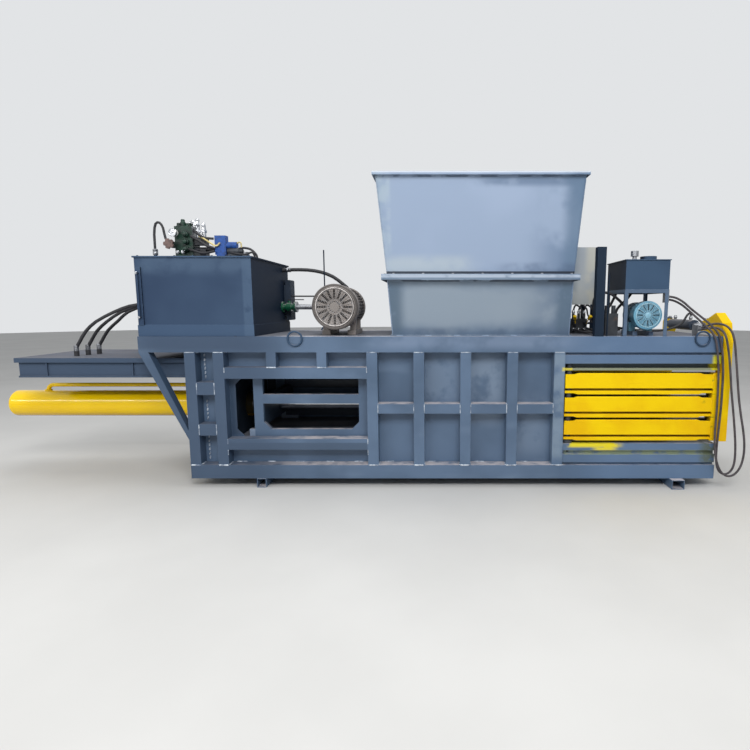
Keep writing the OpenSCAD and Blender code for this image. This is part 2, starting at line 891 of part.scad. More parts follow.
// Level tube in a folded guard on the tank's front face
level_x = 35;
module level_gauge() {
  x = tank_x0 + level_x;
  color(frame_blue)
    box(x - 24, x + 24, tank_y0 - 14, tank_y0, deck_z + band_h + seat, tank_z1 - 86);
  color(bare_steel) {
    rod_z(x, tank_y0 - 26, deck_z + band_h + 60, tank_z1 - 130, 14);
    rod_y(x, tank_y0 - 34, tank_y0 - 14, deck_z + band_h + 70, 20);
    rod_y(x, tank_y0 - 34, tank_y0 - 14, tank_z1 - 140, 20);
  }
}

// Filler breathers: one on each tank
module breather(x, y, z, d, h) {
  rod_z(x, y, z, z + h * 0.45, d * 0.55);
  rod_z(x, y, z + h * 0.45, z + h, d);
}

breather_at = [tank_x1 - 180, -300];
small_breather_at = [unit_x0 + 130, -500];
module breather_caps() {
  color("gainsboro") {
    breather(breather_at[0], breather_at[1], tank_top, 80, 70);
    breather(small_breather_at[0], small_breather_at[1], unit_z0 + small_tank_h, 70, 90);
  }
}

// Foot mounted motor with its shaft along the width of the machine
fin_count = 40;
fin_h = 16;
foot_w = 60;
base_h = 45;
module motor_body(x, z, y0, len, r, feet_z) {
  core = r - fin_h - 14;
  rod_y(x, y0, y0 + len, z, 2 * core);
  for (i = [0:fin_count - 1])
    translate([x, y0 + 40, z])
      rotate([0, i * 360 / fin_count, 0])
        box(core - 2, core + fin_h, 0, len - 90, -2.5, 2.5);
  rod_y(x, y0 - 24, y0 + 26, z, 2 * (r - cowl_t - seat));
  rod_y(x, y0 + len - 46, y0 + len, z, 2 * core + 2 * fin_h + 8);
  for (side = [-1, 1])
    for (y = [y0 + 80, y0 + len - 150])
      difference() {
        box(x + side * r * 0.62 - foot_w / 2, x + side * r * 0.62 + foot_w / 2, y, y + foot_w, feet_z, z - r * 0.5);
        rod_z(x + side * (r * 0.62 + 14), y + foot_w / 2, feet_z - 1, feet_z + 12, 14);
      }
}

cowl_len = 150;
cowl_t = 4;
shaft_share = 0.2;
motor_y1 = motor_y0 + motor_len;
module main_motor() {
  color(motor_grey) {
    difference() {
      motor_body(motor_x, motor_z, motor_y0 + cowl_len, motor_len - cowl_len, motor_r, deck_z + base_h);
      rod_y(motor_x, motor_y0, motor_y1 + 1, motor_z, shaft_share * motor_r + 2 * run);
    }
    for (side = [-1, 1])
      box(motor_x + side * 124 - 40, motor_x + side * 124 + 40, motor_y0 + 190, motor_y1 + 20, deck_z, deck_z + base_h);
  }
}

// Fan cowl: a drum with a domed grille of radial slots
module fan_cowl(x, z, y0, len, r, slots) {
  translate([x, y0, z])
    rotate([-90, 0, 0])
      difference() {
        rotate_extrude($fn = 72)
          polygon([
            [r * 0.24, 0], [r * 0.86, 0], [r * 0.97, r * 0.06], [r, r * 0.14], [r, len],
            [r - cowl_t, len], [r - cowl_t, r * 0.16], [r * 0.95, r * 0.1], [r * 0.85, cowl_t],
            [r * 0.24, cowl_t]
          ]);
        for (i = [0:slots - 1])
          rotate(i * 360 / slots)
            translate([r * 0.36, -r * 0.05, -1])
              cube([r * 0.44, r * 0.1, cowl_t + 2]);
      }
}

module motor_fan_cowl() {
  color(motor_grey)
    fan_cowl(motor_x, motor_z, motor_y0, cowl_len, motor_r, 16);
}

// Shaft, fan and coupling half that turn together
module rotor(x, z, y0, len, r) {
  rod_y(x, y0 + 14, y0 + 58, z, r * 0.5);
  for (i = [0:7])
    translate([x, y0 + 16, z])
      rotate([0, i * 45, 0])
        box(r * 0.2, r * 0.82, 0, 38, -2, 2);
  rod_y(x, y0 + 10, y0 + len + 40, z, r * shaft_share);
  rod_y(x, y0 + len + 8, y0 + len + 40, z, r * 0.44);
}

module motor_rotor() {
  color(dark_steel)
    rotor(motor_x, motor_z, motor_y0, motor_len, motor_r);
}

// Bell housing and pump on the motor's drive end, the suction port facing the tank
bell_len = 70;
pump_len = 250;
pump_port_y = 340;
pump_port_h = 94;
suction_d = 64;
module pump_body(x, z, y0, d, bell, len, shaft) {
  difference() {
    union() {
      rod_y(x, y0, y0 + 16, z, d * 1.5);
      rod_y(x, y0, y0 + bell, z, d * 1.15);
      rod_y(x, y0 + bell, y0 + bell + len * 0.7, z, d);
      rod_y(x, y0 + bell + len * 0.7, y0 + bell + len, z, d * 0.8);
      for (a = [45:90:315])
        translate([x, y0 + bell, z])
          rotate([0, a, 0])
            rod_y(d * 0.44, 0, len * 0.78, 0, d * 0.18);
    }
    rod_y(x, y0 - 1, y0 + bell - 14, z, shaft);
  }
}

module hydraulic_pump() {
  color(dark_steel) {
    pump_body(motor_x, motor_z, motor_y1, 200, bell_len, pump_len, motor_r * 0.44 + 12);
    rod_x(motor_x - 150, motor_x - 90, pump_y, motor_z, suction_d + 20);
    rod_z(motor_x, pump_port_y, motor_z + 60, motor_z + pump_port_h, 56);
  }
}

// Gate valve and pipe between the tank and the pump
valve_len = 150;
module suction_valve() {
  color(valve_green)
    difference() {
      union() {
        rod_x(tank_x1, tank_x1 + valve_len, pump_y, motor_z, suction_d);
        for (x = [tank_x1, tank_x1 + valve_len - 16])
          rod_x(x, x + 16, pump_y, motor_z, suction_d + 52);
        rod_x(tank_x1 + 50, tank_x1 + 100, pump_y, motor_z, suction_d + 30);
        rod_z(tank_x1 + 75, pump_y, motor_z, motor_z + 66, 34);
      }
      rod_z(tank_x1 + 75, pump_y, motor_z + 40, motor_z + 70, 14 + 2 * seat);
    }
}

module suction_valve_lever() {
  color(rubber_black) {
    rod_z(tank_x1 + 75, pump_y, motor_z + 42, motor_z + 84, 14);
    box(tank_x1 + 63, tank_x1 + 235, pump_y - 12, pump_y + 12, motor_z + 74, motor_z + 84);
  }
}

module suction_pipe() {
  color(bare_steel) {
    rod_x(tank_x1 + valve_len, motor_x - 150, pump_y, motor_z, suction_d - 8);
    rod_x(motor_x - 190, motor_x - 150, pump_y, motor_z, suction_d + 22);
    rod_x(tank_x1 + valve_len, tank_x1 + valve_len + 14, pump_y, motor_z, suction_d + 52);
  }
}

// Valve stack on the tank top
manifold_x = tank_x0 + 256;
manifold_y = -400;
manifold_w = 170;
manifold_d = 150;
relief_w = 44;
manifold_h = 304;
module valve_manifold() {
  z = tank_top;
  color(valve_green) {
    box(manifold_x, manifold_x + manifold_w, manifold_y, manifold_y + manifold_d, z, z + manifold_h);
    box(manifold_x - relief_w, manifold_x, manifold_y, manifold_y + 60, wheel_z - 28, wheel_z + 28);
    rod_z(manifold_x + 110, manifold_y + 75, z + manifold_h, z + manifold_h + 34, 66);
  }
  color("gainsboro")
    for (x = [manifold_x + 200, manifold_x + 258]) {
      rod_z(x, manifold_y + 60, z + 200, z + 300, 40);
      translate([x, manifold_y + 60, z + 250])
        cylinder(h = 24, d = 56, $fn = 6);
    }
  color(dark_steel) {
    rod_x(manifold_x + manifold_w, solenoid_x - seat, manifold_y + 60, z + 90, 46);
    box(manifold_x + manifold_w, manifold_x + 284, manifold_y + 20, manifold_y + 100, z + 130, z + 200);
    box(manifold_x + 224, manifold_x + 284, manifold_y + 20, manifold_y + 100, z, z + 90);
  }
}

// Directional valve with its coil, on its own foot
solenoid_x = tank_x0 + 624;
solenoid_body = 106;
solenoid_len = 203;
module solenoid_valves() {
  y = manifold_y + 60;
  z = tank_top + 130;
  color(dark_steel)
    box(solenoid_x + 14, solenoid_x + 92, y - 36, y + 36, tank_top, z - 90);
  color([0.16, 0.36, 0.68]) {
    box(solenoid_x, solenoid_x + solenoid_body, y - 34, y + 34, z - 90, z + 90);
    rod_x(solenoid_x + solenoid_body, solenoid_x + solenoid_len, y, z, 66);
  }
}

gauge_z = tank_top + 236;
module pressure_gauge() {
  x = manifold_x + 14;
  color("whitesmoke")
    rod_y(x, manifold_y - 60, manifold_y - 22, gauge_z, 70);
  color(bare_steel)
    rod_y(x, manifold_y - 22, manifold_y, gauge_z, 24);
}

wheel_z = tank_top + 131;
wheel_d = 96;
module relief_handwheel() {
  x = manifold_x - relief_w / 2;
  color("firebrick")
    union() {
      rod_y(x, manifold_y - 70, manifold_y - seat, wheel_z, 16);
      difference() {
        rod_y(x, manifold_y - 84, manifold_y - 62, wheel_z, wheel_d);
        for (i = [0:4])
          translate([x, 0, wheel_z])
            rotate([0, i * 72, 0])
              rod_y(wheel_d * 0.54, manifold_y - 90, manifold_y - 60, 0, wheel_d * 0.3);
      }
    }
}

// Oil cooler core on the tank's end
cooler_t = 66;
module oil_cooler() {
  color(dark_steel) {
    box(tank_x1, tank_x1 + 20, 330, 480, 1620, 1960);
    box(tank_x1 + 20, tank_x1 + cooler_t, 320, 486, 1575, 2015);
    for (i = [0:10])
      box(tank_x1 + cooler_t, tank_x1 + cooler_t + 8, 326 + i * 15, 332 + i * 15, 1581, 2009);
  }
}

// Control cabinet: a folded shell open towards the door, with a mounting plate inside
shell_t = 3;
door_t = 20;
module control_cabinet() {
  color(cabinet_grey) {
    difference() {
      box(cab_x0, cab_x1, cab_y0, cab_y1, cab_z0, cab_z1);
      box(cab_x0 + shell_t, cab_x1 + 1, cab_y0 + shell_t, cab_y1 - shell_t, cab_z0 + shell_t, cab_z1 - shell_t);
    }
    box(cab_x0 + shell_t + 12, cab_x0 + shell_t + 15, cab_y0 + 30, cab_y1 - 30, cab_z0 + 30, cab_z1 - 30);
    for (z = [cab_z0 + 60, cab_z1 - 60])
      box(cab_x0 + shell_t, cab_x0 + shell_t + 12, cab_y0 + 60, cab_y1 - 60, z - 10, z + 10);
  }
  color(dark_steel)
    for (z = [cab_z0 + 130, cab_z0 + 300])
      for (i = [0:3])
        box(cab_x0 + shell_t + 15, cab_x0 + shell_t + 90, cab_y0 + 60 + i * 72, cab_y0 + 120 + i * 72, z, z + 90);
}

hinge_r = 7;
cab_hinge_x = cab_x1 + door_t / 2;
cab_hinge_y = cab_y1 + hinge_r + 2;
lock_y = cab_y0 + 40;
start_z = cab_z1 - 110;
stop_z = cab_z1 - 190;
button_y = (cab_y0 + cab_y1) / 2;
button_d = 22;
module cabinet_door() {
  color(cabinet_grey)
    difference() {
      union() {
        box(cab_x1 + seat, cab_x1 + door_t, cab_y0 + 1, cab_y1 - 1, cab_z0 + 1, cab_z1 - 1);
        for (z = [cab_z0 + 70, cab_z1 - 130]) {
          rod_z(cab_hinge_x, cab_hinge_y, z, z + 60, 2 * hinge_r);
          box(cab_hinge_x - 3, cab_hinge_x + 3, cab_y1 - 2, cab_hinge_y, z, z + 60);
        }
      }
      box(cab_x1, cab_x1 + door_t - shell_t, cab_y0 + 8, cab_y1 - 8, cab_z0 + 8, cab_z1 - 8);
      for (z = [start_z, stop_z])
        rod_x(cab_x1, cab_x1 + door_t + 1, button_y, z, button_d + 2 * run);
      rod_x(cab_x1, cab_x1 + door_t + 1, lock_y, (cab_z0 + cab_z1) / 2, 18 + 2 * run);
    }
}

module cabinet_handle() {
  z = (cab_z0 + cab_z1) / 2;
  x = cab_x1 + door_t;
  color(dark_steel) {
    rod_x(x - 14, x + 14, lock_y, z, 18);
    rod_x(x + seat, x + 14, lock_y, z, 30);
    box(x + 8, x + 20, lock_y - 8, lock_y + 8, z - 62, z + 14);
  }
}

module push_button(z, head) {
  x = cab_x1 + door_t;
  rod_x(x - 16, x + 12, button_y, z, button_d);
  rod_x(x + 10, x + 18, button_y, z, head);
}

module start_button() {
  color("limegreen")
    push_button(start_z, button_d + 6);
}

module stop_button() {
  color("red")
    push_button(stop_z, 40);
}

// Posts on the deck: the post beside the cabinet, its legs, and two thin poles
post_s = 80;
post_x0 = cab_x0 + 141;
leg_w = 36;
pole_d = 14;
module deck_posts() {
  y = -out_y;
  color(frame_blue) {
    box(post_x0, post_x0 + post_s, y, y + post_s, deck_z, cab_z1 - 60);
    for (x = [cab_x0, cab_x1 - leg_w])
      for (y = [cab_y0, cab_y1 - leg_w])
        box(x, x + leg_w, y, y + leg_w, deck_z, cab_z0);
    rod_z(cab_x1 - 30, -620, deck_z, 2020, pole_d);
    rod_z(motor_x - 276, 300, deck_z, 2335, pole_d);
  }
}

// Small oil tank on an angle iron stand
module squeeze_tank() {
  color(tank_blue) {
    box(unit_x0, unit_x1, unit_y0, unit_y1, unit_z0, unit_z0 + small_tank_h - 8);
    box(unit_x0 - 8, unit_x1 + 8, unit_y0 - 8, unit_y1 + 8, unit_z0 + small_tank_h - 8, unit_z0 + small_tank_h);
  }
  color(dark_steel)
    translate([unit_x1 - 110, -420, unit_z0 + small_tank_h])
      cylinder(h = 46, d = 150);
}

leg_s = 32;
leg_t = 5;
stand_rail = 34;
module squeeze_unit_frame() {
  color(frame_blue) {
    for (sx = [0, 1])
      for (sy = [0, 1])
        translate([sx ? unit_x1 : unit_x0, sy ? unit_y1 : unit_y0, deck_z])
          mirror([sx, 0, 0])
            mirror([0, sy, 0])
              linear_extrude(unit_z0 - deck_z)
                polygon([[0, 0], [leg_s, 0], [leg_s, leg_t], [leg_t, leg_t], [leg_t, leg_s], [0, leg_s]]);
    for (y = [unit_y0, unit_y1 - leg_t])
      box(unit_x0, unit_x1, y, y + leg_t, unit_z0 - stand_rail, unit_z0);
    for (x = [unit_x0, unit_x1 - leg_t])
      box(x, x + leg_t, unit_y0, unit_y1, unit_z0 - stand_rail, unit_z0);
    for (x = [unit_x0 + 60, unit_x1 - 60 - stand_rail])
      box(x, x + stand_rail, unit_y0 + leg_t, unit_y1 - leg_t, unit_z0 - leg_t, unit_z0);
    for (x = [small_x - 98, small_x + 54])
      box(x, x + 44, small_y0 + 100, small_y0 + 420, deck_z, deck_z + 40);
  }
}

small_len = 330;
small_cowl = 90;
module squeeze_motor() {
  color(small_motor_blue)
    difference() {
      motor_body(small_x, small_z, small_y0 + small_cowl, small_len - small_cowl, small_motor_r, deck_z + 40);
      rod_y(small_x, small_y0, small_y0 + small_len + 1, small_z, shaft_share * small_motor_r + 2 * run);
    }
}

module squeeze_motor_cowl() {
  color(small_motor_blue)
    fan_cowl(small_x, small_z, small_y0, small_cowl, small_motor_r, 12);
}

module squeeze_rotor() {
  color(dark_steel)
    rotor(small_x, small_z, small_y0, small_len, small_motor_r);
}

module squeeze_pump() {
  color(dark_steel)
    pump_body(small_x, small_z, small_y0 + small_len, 110, 60, 120, small_motor_r * 0.44 + 10);
}

// Control valves for the squeeze cylinder, under the cabinet
block_x = cab_x0 + 70;
module squeeze_valve_block() {
  color(dark_steel) {
    box(block_x, block_x + 180, -90, 60, deck_z, deck_z + 60);
    box(block_x + 14, block_x + 166, -70, 40, deck_z + 60, deck_z + 150);
    for (x = [block_x + 34, block_x + 90, block_x + 146])
      rod_z(x, -20, deck_z + 150, deck_z + 200, 30);
    box(unit_x0 - 140, unit_x0 - 20, -560, -450, deck_z, deck_z + 210);
    for (x = [unit_x0 - 112, unit_x0 - 50])
      rod_z(x, -505, deck_z + 210, deck_z + 285, 40);
  }
  color(gate_yellow)
    for (x = [block_x + 34, block_x + 146])
      rod_y(x, -112, -70, deck_z + 105, 34);
}

// Round tube swept along a route, with a fixed side direction to keep its rings level
function route_dir(p, i) =
  let (d = p[min(i + 1, len(p) - 1)] - p[max(i - 1, 0)]) d / norm(d);
function ring(p, i, r, sides, ref) =
  let (t = route_dir(p, i), c = cross(ref, t), u = c / norm(c), w = cross(t, u))
  [for (k = [0:sides - 1]) p[i] + r * (cos(k * 360 / sides) * u + sin(k * 360 / sides) * w)];
module hose(p, d, sides = 10, ref = [0, 1, 0]) {
  n = len(p);
  polyhedron(
    points = [for (i = [0:n - 1]) each ring(p, i, d / 2, sides, ref)],
    faces = concat(
      [[for (k = [0:sides - 1]) k]],
      [for (i = [0:n - 2]) for (k = [0:sides - 1])
        [i * sides + k, (i + 1) * sides + k, (i + 1) * sides + (k + 1) % sides, i * sides + (k + 1) % sides]],
      [[for (k = [sides - 1:-1:0]) (n - 1) * sides + k]]
    ),
    convexity = 6
  );
}

// A smooth route through a few points
function bend(p, i, t) =
  let (a = p[max(i - 1, 0)], b = p[i], c = p[i + 1], d = p[min(i + 2, len(p) - 1)])
  0.5 * (2 * b + (c - a) * t + (2 * a - 5 * b + 4 * c - d) * t * t + (3 * b - a - 3 * c + d) * t * t * t);
function smooth(p, steps) = concat(
  [for (i = [0:len(p) - 2]) for (s = [0:steps - 1]) bend(p, i, s / steps)],
  [p[len(p) - 1]]
);

// Hoses between the valves on the tank top
small_hose_d = 24;
arch_y = -320;
top_arch = [
  [tank_x0 + 10, -300, tank_top + 40], [tank_x0 + 10, -300, tank_top + 240], [tank_x0 + 30, -300, tank_top + 340],
  [tank_x0 + 70, -300, tank_top + 350], [tank_x0 + 100, -300, tank_top + 300], [tank_x0 + 120, -304, tank_top + 200],
  [manifold_x - 80, arch_y, tank_top + 140], [manifold_x - 12, arch_y, tank_top + 120]
];
return_z = tank_top - 60;
back_hose = [
  [tank_x1 + 20, 300, return_z], [tank_x1 + 120, 302, return_z + 4], [tank_x1 + 270, 312, return_z + 2],
  [motor_x - 317, 322, return_z - 20], [motor_x - 187, 332, return_z - 70], [motor_x - 80, 338, return_z - 150],
  [motor_x - 18, pump_port_y, motor_z + 190], [motor_x, pump_port_y, motor_z + 120]
];
drain_d = 16;
module tank_top_hoses() {
  color(rubber_black) {
    hose(smooth(top_arch, 2), small_hose_d, 8);
    hose(smooth(back_hose, 2), 38, 8);
    rod_x(tank_x1 + cooler_t + 8, motor_x, pump_port_y, motor_z + 118, drain_d);
  }
  color("gainsboro") {
    rod_z(tank_x0 + 10, -300, tank_top, tank_top + 50, 34);
    rod_x(manifold_x - 24, manifold_x, arch_y, tank_top + 120, 34);
    rod_z(motor_x, pump_port_y, motor_z + pump_port_h, motor_z + 132, 46);
    rod_x(tank_x1, tank_x1 + 36, 300, return_z, 48);
  }
}

// Pressure hoses from the tank's end down to the deck and the oil pipe
thick_hose_d = 32;
port_z = 1745;
port_y = [-300, -180, -60];
port_len = 60;
hose_foot_x = deck_x0 + 440;
function pressure_route(y, x1) = [
  [tank_x0 - port_len + 10, y, port_z], [tank_x0 - 140, y, port_z + 3], [tank_x0 - 290, y, port_z - 18],
  [tank_x0 - 450, y, port_z - 78], [x1 + 220, y, port_z - 170], [x1 + 110, y, port_z - 266],
  [x1 + 40, y, port_z - 370], [x1 + 8, y, deck_top_z + 90], [x1, y, deck_top_z + 30]
];
module pressure_hoses() {
  color(rubber_black)
    for (i = [0:2])
      hose(smooth(pressure_route(port_y[i], hose_foot_x + i * 35), 2), thick_hose_d, 10);
  color(bare_steel)
    for (i = [0:2]) {
      rod_x(tank_x0 - port_len, tank_x0, port_y[i], port_z, thick_hose_d + 14);
      rod_z(hose_foot_x + i * 35, port_y[i], deck_top_z, deck_top_z + 50, thick_hose_d + 14);
    }
}

// Unions that the two free hoses leave and come back to
free_hose_d = 20;
union_d = 32;
exit_a = [3040, -600, 1815];
exit_b = [3040, -560, 1790];
end_a = [3366, -580, 1512];
end_b = [3366, -535, 1520];
module hose_unions() {
  color(bare_steel) {
    for (e = [exit_a, exit_b])
      rod_x(unit_x1 + 6, e[0], e[1], e[2], union_d);
    box(unit_x1, unit_x1 + 6, unit_y0 + 4, -530, 1760, unit_z0);
    for (e = [end_a, end_b])
      rod_x(e[0] - 40, e[0], e[1], e[2], union_d);
    box(end_a[0] - 46, end_a[0] - 40, -610, -505, deck_z, 1550);
  }
}

route_a = [
  exit_a, exit_a + [8, 0, 0], [3110, -600, 1802], [3180, -604, 1762], [3246, -612, 1704], [3320, -624, 1644],
  [3390, -644, 1584], [3440, -668, 1530], [3476, -694, 1474], [3496, -706, 1404],
  [3514, -708, 1320], [3528, -708, 1210], [3538, -708, 1090], [3540, -708, 950],
  [3540, -708, 810], [3536, -708, 670], [3530, -708, 530], [3526, -708, 400],
  [3528, -708, 300], [3542, -708, 214], [3572, -709, 162], [3614, -714, 144],
  [3656, -720, 164], [3682, -728, 218], [3690, -734, 300], [3684, -738, 420],
  [3668, -738, 560], [3648, -738, 700], [3626, -738, 840], [3604, -738, 980],
  [3588, -736, 1120], [3570, -734, 1250], [3550, -732, 1360], [3534, -722, 1440],
  [3516, -694, 1496], [3490, -650, 1524], [3450, -606, 1526], [3410, -584, 1516], end_a + [8, 0, 0], end_a
];
route_b = [
  exit_b, exit_b + [8, 0, 0], [3110, -562, 1776], [3180, -572, 1738], [3250, -590, 1676], [3320, -612, 1608],
  [3376, -642, 1548], [3420, -678, 1494], [3448, -704, 1424], [3466, -708, 1340],
  [3482, -708, 1230], [3494, -708, 1100], [3500, -708, 960], [3502, -708, 810],
  [3500, -710, 660], [3496, -716, 520], [3498, -730, 390], [3512, -748, 280],
  [3546, -764, 190], [3602, -772, 146], [3668, -774, 158], [3722, -774, 230],
  [3746, -774, 340], [3744, -774, 460], [3724, -772, 590], [3694, -770, 730],
  [3668, -768, 870], [3648, -766, 1010], [3630, -764, 1150], [3612, -762, 1280],
  [3596, -758, 1390], [3578, -742, 1480], [3548, -706, 1540], [3504, -650, 1564],
  [3458, -592, 1558], [3412, -550, 1530], end_b + [8, 0, 0], end_b
];

module hose_loop_a() {
  color(rubber_black)
    hose(route_a, free_hose_d, 8);
}

module hose_loop_b() {
  color(rubber_black)
    hose(route_b, free_hose_d, 8);
}

front_side_frame();
rear_side_frame();
front_side_panel();
rear_side_panel();
skid_tubes();
cross_beams();
floor_plate();
top_deck();
shear_blade();
rear_bulkhead();
cylinder_deck();
main_cylinder_barrel();
cylinder_oil_pipe();
main_cylinder_rod();
ram_carriage();
ram_platen();
slide_shoes();
front_gate();
rear_gate();
gate_hinge_pins();
squeeze_cylinder_barrel();
squeeze_cylinder_rod();
hopper_lower();
hopper_upper();
hopper_bolts();
lifting_rings();
oil_tank();
tank_lid();
level_gauge();
breather_caps();
main_motor();
motor_fan_cowl();
motor_rotor();
hydraulic_pump();
suction_valve();
suction_valve_lever();
suction_pipe();
valve_manifold();
solenoid_valves();
pressure_gauge();
relief_handwheel();
tank_top_hoses();
pressure_hoses();
oil_cooler();
control_cabinet();
cabinet_door();
cabinet_handle();
start_button();
stop_button();
deck_posts();
squeeze_tank();
squeeze_unit_frame();
squeeze_motor();
squeeze_motor_cowl();
squeeze_rotor();
squeeze_pump();
squeeze_valve_block();
hose_unions();
hose_loop_a();
hose_loop_b();
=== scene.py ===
import json
import math
import random

import bmesh
import bpy
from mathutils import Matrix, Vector


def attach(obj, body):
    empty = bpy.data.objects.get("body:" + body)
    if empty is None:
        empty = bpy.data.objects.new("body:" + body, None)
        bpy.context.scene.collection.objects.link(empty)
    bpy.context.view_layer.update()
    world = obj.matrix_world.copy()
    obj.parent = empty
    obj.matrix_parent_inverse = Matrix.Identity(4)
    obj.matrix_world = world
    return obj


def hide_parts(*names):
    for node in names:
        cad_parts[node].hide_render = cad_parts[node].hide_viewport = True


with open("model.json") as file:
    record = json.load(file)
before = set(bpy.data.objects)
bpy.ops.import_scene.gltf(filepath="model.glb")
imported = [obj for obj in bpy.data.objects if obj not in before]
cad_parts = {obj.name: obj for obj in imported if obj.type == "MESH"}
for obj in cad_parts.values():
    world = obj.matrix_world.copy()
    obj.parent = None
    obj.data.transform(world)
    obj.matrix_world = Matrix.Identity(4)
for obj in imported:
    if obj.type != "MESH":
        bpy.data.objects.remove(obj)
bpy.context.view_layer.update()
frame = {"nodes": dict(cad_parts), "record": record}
scene = bpy.context.scene
dice = random.Random(7)
print("frame loaded:", len(frame["nodes"]), "nodes")


# camera and light

view = {"place": (0.91, -5.465, 1.72), "pitch": -7.5, "focal": 517 / 750, "centreX": 440 / 750,
        "sensor": 36, "far": 200}


def makeCamera():
    lens = bpy.data.cameras.new("camera")
    lens.sensor_width = view["sensor"]
    lens.lens = view["focal"] * view["sensor"]
    lens.shift_x = 0.5 - view["centreX"]
    lens.clip_end = view["far"]
    eye = bpy.data.objects.new("camera", lens)
    eye.location = view["place"]
    eye.rotation_euler = (math.radians(90 + view["pitch"]), 0, 0)
    scene.collection.objects.link(eye)
    scene.camera = eye


def makeLamp(name, look):
    lamp = bpy.data.lights.new(name, "AREA")
    lamp.shape = "RECTANGLE"
    lamp.size, lamp.size_y = look["size"]
    lamp.energy = look["power"]
    holder = bpy.data.objects.new(name, lamp)
    holder.location = look["place"]
    holder.rotation_euler = (Vector(look["aim"]) - Vector(look["place"])).to_track_quat("-Z", "Y").to_euler()
    scene.collection.objects.link(holder)


makeCamera()
scene.view_settings.view_transform = "Standard"


# shader maths

class Socket:
    # one output of a node tree: a sum on it adds Math nodes
    def __init__(self, tree, port=None):
        self.tree = tree
        self.port = port

    def node(self, kind, settings=None, inputs=None, out=0):
        made = self.tree.nodes.new(kind)
        for name, value in (settings or {}).items():
            if name == "stops":
                ramp = made.color_ramp
                while len(ramp.elements) < len(value):
                    ramp.elements.new(0.5)
                for stop, (at, tint) in zip(ramp.elements, value):
                    stop.position = at
                    stop.color = (*tint, 1)
            else:
                setattr(made, name, value)
        for name, value in (inputs or {}).items():
            if isinstance(value, Socket):
                self.tree.links.new(value.port, made.inputs[name])
            else:
                made.inputs[name].default_value = value
        return Socket(self.tree, made.outputs[out] if made.outputs else None)

    def math(self, operation, *values):
        return self.node("ShaderNodeMath", {"operation": operation}, dict(enumerate(values)))

    def __add__(self, other):
        return self.math("ADD", self, other)

    def __sub__(self, other):
        return self.math("SUBTRACT", self, other)

    def __rsub__(self, other):
        return self.math("SUBTRACT", other, self)

    def __mul__(self, other):
        return self.math("MULTIPLY", self, other)

    def __truediv__(self, other):
        return self.math("DIVIDE", self, other)

    __radd__ = __add__
    __rmul__ = __mul__

    def low(self, other):
        return self.math("MINIMUM", self, other)

    def high(self, other):
        return self.math("MAXIMUM", self, other)

    def size(self):
        return self.math("ABSOLUTE", self)

    def step(self, start, end):
        return self.node(
            "ShaderNodeMapRange", {"interpolation_type": "SMOOTHSTEP"},
            {"Value": self, "From Min": start, "From Max": end},
        )


def mixTint(tree, first, second, share):
    return tree.node(
        "ShaderNodeMix", {"data_type": "RGBA"},
        {0: share, 6: full(first), 7: full(second)}, out=2,
    )


def full(tint):
    # sRGB triple of 0..255 to a linear colour, links pass through
    if isinstance(tint, Socket):
        return tint
    return (*[(c / 255 / 12.92) if c <= 10 else ((c / 255 + 0.055) / 1.055) ** 2.4 for c in tint], 1)


surfaceLook = {"bevelSamples": 4, "softEdge": 0.004, "bumpDepth": 0.002, "coatRough": 0.12}


def mark(box, tint, share=0.8, fade=(0.02, 0.01), ragged=(0.30, 0.55), scale=9.0):
    # a patch of another colour: its two lengths and two heights, how far its rim fades, and the noise in it
    return {"box": box, "tint": tint, "share": share, "fade": fade, "ragged": ragged, "scale": scale}


